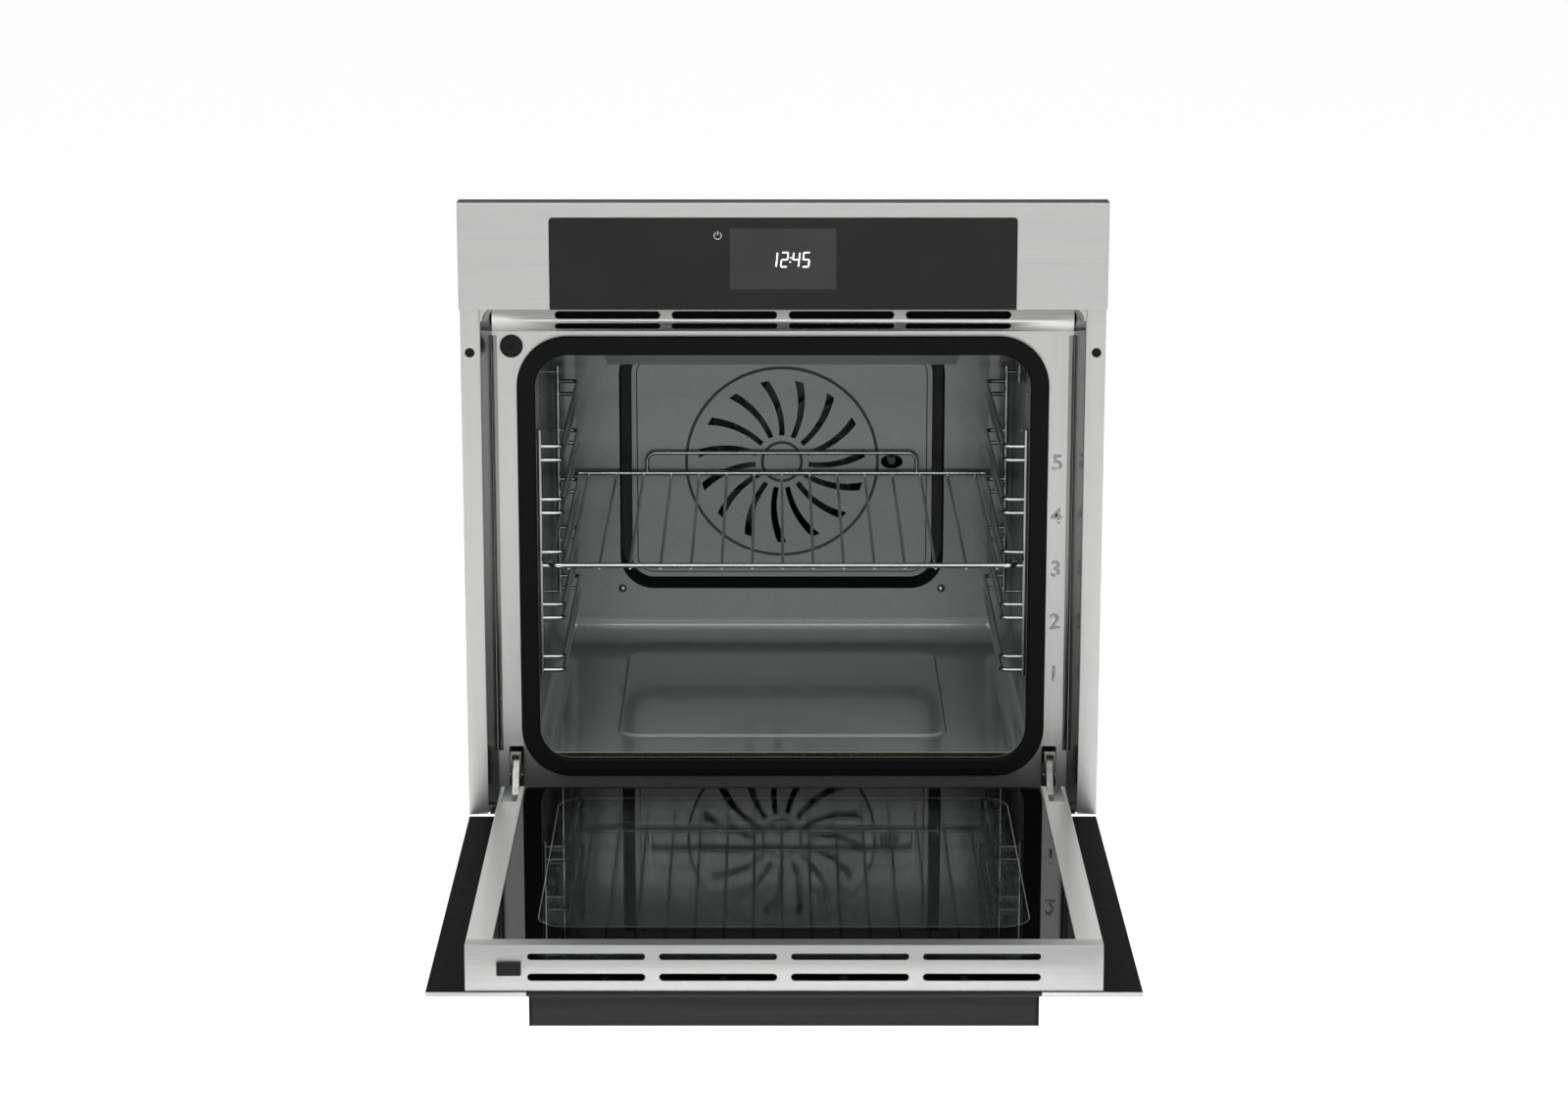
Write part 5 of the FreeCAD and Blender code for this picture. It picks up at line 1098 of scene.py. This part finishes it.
@dataclass
class Cavity(SubAssembly):
    """Enamelled muffle with its fan wall, elements, lamp and racks."""

    def build(self) -> None:
        """Make and dress the cavity's pieces."""
        dress(self.look.enamel, "cavity_liner", "rear_hood")
        # Painted shade: darkened enamel inside the fan chamber behind the slots.
        dress(self.look.painted_shade_enamel, "fan_chamber")
        cover = stand_in("fan_cover", 0.35, "oven", "grey_enamel", self.look.enamel, 2)
        # Painted shade: darkened enamel in the fan cover's pressed grooves.
        front = min(vertex.co.y for vertex in cover.data.vertices)
        repaint(cover, self.look.painted_shade_enamel, lambda face: 0.45 * MM < face.center.y - front < 1.9 * MM)
        dress(self.look.sheath, "ring_element", "grill_element", "bottom_element")
        dress(self.look.screw, "sheet_screws", "grill_hangers", "temperature_sensor", "probe_socket",
              "fan_shaft")
        dress(self.look.wheel, "convection_fan")
        dress(self.look.iron, "fan_motor")
        dress(self.look.ceramic, "oven_lamp")
        dress(self.look.lens, "lamp_lens")
        dress(self.look.chrome, "side_rack_left", "side_rack_right", "wire_shelf")
        self.blanket()

    def blanket(self) -> None:
        """Replace the plain wool blanket by a puffed, uneven one."""
        node = "insulation_blanket"
        piece = copied(node)
        bpy.ops.mesh.subdivide(number_cuts=7)
        leave_edit()
        fluff = bpy.data.textures.new("wool_fluff", "CLOUDS")
        fluff.noise_scale = 22 * MM
        apply_modifier(piece, "DISPLACE", texture=fluff, strength=-2.4 * MM, mid_level=0.0,
                       texture_coords="LOCAL")
        smooth(piece, 60)
        settle(piece, "wool_blanket", "oven", "mineral_wool", self.look.wool)
        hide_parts(node)


@dataclass
class Casing(SubAssembly):
    """Outer sheets, supply parts and the cooling blower."""

    def build(self) -> None:
        """Make and dress the casing's pieces."""
        dress(self.look.zinc, "casing_base", "steam_generator", "blower_housing")
        for sheet in ("casing_sides", "casing_rear", "casing_top"):
            stand_in(sheet, 0.3, "oven", "galvanised_steel", self.look.zinc, 2)
        # Dead black on the air duct, painted shade behind the vent slots.
        dress(self.look.painted_black_shade, "air_duct")
        dress(self.look.plastic, "terminal_block", "door_switch")
        stand_in("cable_gland", 0.8, "oven", "black_plastic", self.look.plastic, 3)
        dress(self.look.hose, "steam_pipe")
        dress(self.look.wheel, "blower_wheel")
        dress(self.look.iron, "blower_motor")


@dataclass
class Hinges(SubAssembly):
    """Door hinges with their flip latches."""

    def build(self) -> None:
        """Make and dress the hinges' pieces."""
        dress(self.look.hinge, "hinge_arms", "hinge_receivers", "hinge_cartridges")
        dress(self.look.screw, "hinge_pins")
        dress(self.look.spring, "hinge_springs")
        for side in ("left", "right"):
            stand_in(f"hinge_latch_{side}", 0.35, f"latch_{side}", "hinge_steel", self.look.hinge, 2)


@dataclass
class Door(SubAssembly):
    """Door panes, rails, cap, catch and handle.

    Attributes:
        border_side: Width of the printed border at the pane's sides, in millimetres.
        border_end: Width of the printed border at the pane's ends.
        border_corner: Corner radius of the clear window.
    """

    border_side: float = 34.0
    border_end: float = 30.0
    border_corner: float = 26.0

    def build(self) -> None:
        """Make and dress the door's pieces."""
        outer = stand_in("door_outer_glass", 0.4, "door", "black_glass", self.look.door_glass, 2)
        repaint(outer, self.look.door_print, lambda face: face.normal.z > 0.7)
        self.edge_strips(outer, self.look.fascia)
        for node, width_mm, slot, finish, segments in (
                ("door_trims", 0.25, "brushed_steel", self.look.fascia, 2),
                ("door_rails", 0.6, "door_rail_steel", self.look.rail, 2),
                ("door_top_cap", 0.6, "door_cap_steel", self.look.cap, 2),
                ("door_catch", 0.5, "black_plastic", self.look.plastic, 2),
                ("handle", 0.6, "handle_aluminium", self.look.handle, 3)):
            stand_in(node, width_mm, "door", slot, finish, segments)
        dress(self.look.plastic, "door_foot_strip", "pane_spacers", "handle_end_caps")
        dress(self.look.screw, "handle_screws")
        dress(self.look.middle, "door_middle_glasses")
        self.inner_pane()

    def edge_strips(self, outer: Object, steel: Material) -> None:
        """Show the side trims' steel on the near edge of the outer pane.

        Args:
            outer: Outer glass piece.
            steel: Finish of the trims.
        """
        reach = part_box("control_glass")[1].x + 0.3 * MM
        near = min(vertex.co.y for vertex in outer.data.vertices)
        for side in (-1, 1):
            pick(outer)
            enter_edit()
            bpy.ops.mesh.bisect(plane_co=(side * reach, 0, 0), plane_no=(1, 0, 0))
            leave_edit()
        repaint(outer, steel, lambda face: abs(face.center.x) > reach
                and face.center.y < near + 0.6 * MM and face.normal.z < 0.6)

    def inner_pane(self) -> None:
        """Dress the inner pane with its clear window in a printed border."""
        low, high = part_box("door_inner_glass")
        centre = (low + high) / 2
        half = (high - low) / 2
        pane = PrintedPane("printed_inner_pane", "030303", "C4C8C6", 0.01, centre=(centre.x, centre.y),
                           half=(half.x - self.border_side * MM, half.y - self.border_end * MM),
                           corner=self.border_corner * MM)
        dress(pane.build(), "door_inner_glass")


@dataclass
class Studio:
    """Pale floor, soft lights and the camera.

    Attributes:
        floor_drop: Height of the floor below the row's base.
        camera_place: Camera in the row frame.
        camera_tilt: Downward tilt in degrees.
        lens: Focal length for a 36 mm sensor.
    """

    floor_drop: float = 0.85
    camera_place: tuple[float, float, float] = (-0.00866, -3.8238, 1.1126)
    camera_tilt: float = 13.587
    lens: float = 89.62

    def build(self) -> None:
        """Set up the whole studio."""
        self.floor()
        self.world()
        for name, place, size, power in (("key", (-1.5, -2.6, 2.6), (2.4, 1.6), 42.0),
                                         ("front", (0.0, -3.2, 0.18), (1.6, 0.3), 108.0),
                                         ("strip", (0.3, -3.2, 1.45), (2.6, 0.35), 20.0),
                                         ("fill", (1.9, -2.2, 2.2), (1.4, 1.4), 26.0),
                                         ("top", (0.0, 0.2, 2.8), (2.0, 2.0), 30.0)):
            self.softbox(name + "_softbox", place, size, power, glossy=name != "front")
        self.camera()

    def floor(self) -> None:
        """Lay the floor."""
        clear_selection()
        bpy.ops.mesh.primitive_plane_add(size=240, location=(0, 0, -self.floor_drop))
        plane = bpy.context.object
        plane.name = "studio_floor"
        plane.data.materials.append(Coating("pale_matt_floor", "FCFCFC", "FFFFFF", 0.9, fleck_mm=40.0,
                                            wave_mm=900.0, relief_mm=0.01, specular=0.1).build())

    def world(self) -> None:
        """Light the scene evenly."""
        world = bpy.data.worlds.new("pale_surround")
        bpy.context.scene.world = world
        world.use_nodes = True
        tree = world.node_tree
        back = tree.nodes["Background"]
        place = add_node(tree, "ShaderNodeTexCoord").outputs["Generated"]
        way = add_node(tree, "ShaderNodeSeparateXYZ", {0: place})
        aside = add_node(tree, "ShaderNodeMath", {0: way.outputs["X"]}, operation="ABSOLUTE")
        glow = ramp(tree, aside.outputs[0], ((0.5, "FFFFFF"), (0.85, "A0A0A0")))
        feed(back, {"Color": glow, "Strength": 1.16})

    def softbox(self, name: str, place: tuple[float, float, float], size: tuple[float, float], power: float,
                glossy: bool) -> None:
        """Hang one soft light that looks at the oven.

        Args:
            name: Name of the light.
            place: Its place.
            size: Its width and height.
            power: Its power in watts.
            glossy: Whether it shows in reflections.
        """
        data = bpy.data.lights.new(name, "AREA")
        data.shape = "RECTANGLE"
        data.size, data.size_y = size
        data.energy = power
        light = bpy.data.objects.new(name, data)
        light.location = place
        light.rotation_euler = (Vector((0, 0, 0.25)) - Vector(place)).to_track_quat("-Z", "Y").to_euler()
        light.visible_glossy = glossy
        bpy.context.scene.collection.objects.link(light)

    def camera(self) -> None:
        """Place the camera."""
        data = bpy.data.cameras.new("camera")
        data.sensor_width = 36.0
        data.lens = self.lens
        data.shift_x = 0.0066
        data.clip_start, data.clip_end = 0.05, 400.0
        camera = bpy.data.objects.new("camera", data)
        camera.location = self.camera_place
        camera.rotation_euler = (math.radians(90 - self.camera_tilt), 0, 0)
        bpy.context.scene.collection.objects.link(camera)
        bpy.context.scene.camera = camera
        bpy.context.scene.view_settings.view_transform = "Standard"


def main() -> None:
    """Build the oven's looks and the studio."""
    logging.basicConfig(level=logging.INFO, format="%(name)s %(message)s")
    finishes = Finishes()
    Studio().build()
    for assembly in (ControlPanel, FrontFrame, Cavity, Casing, Hinges, Door):
        assembly(finishes).build()
        LOG.info("%s done", assembly.__name__)


if __name__ == "__main__":
    main()
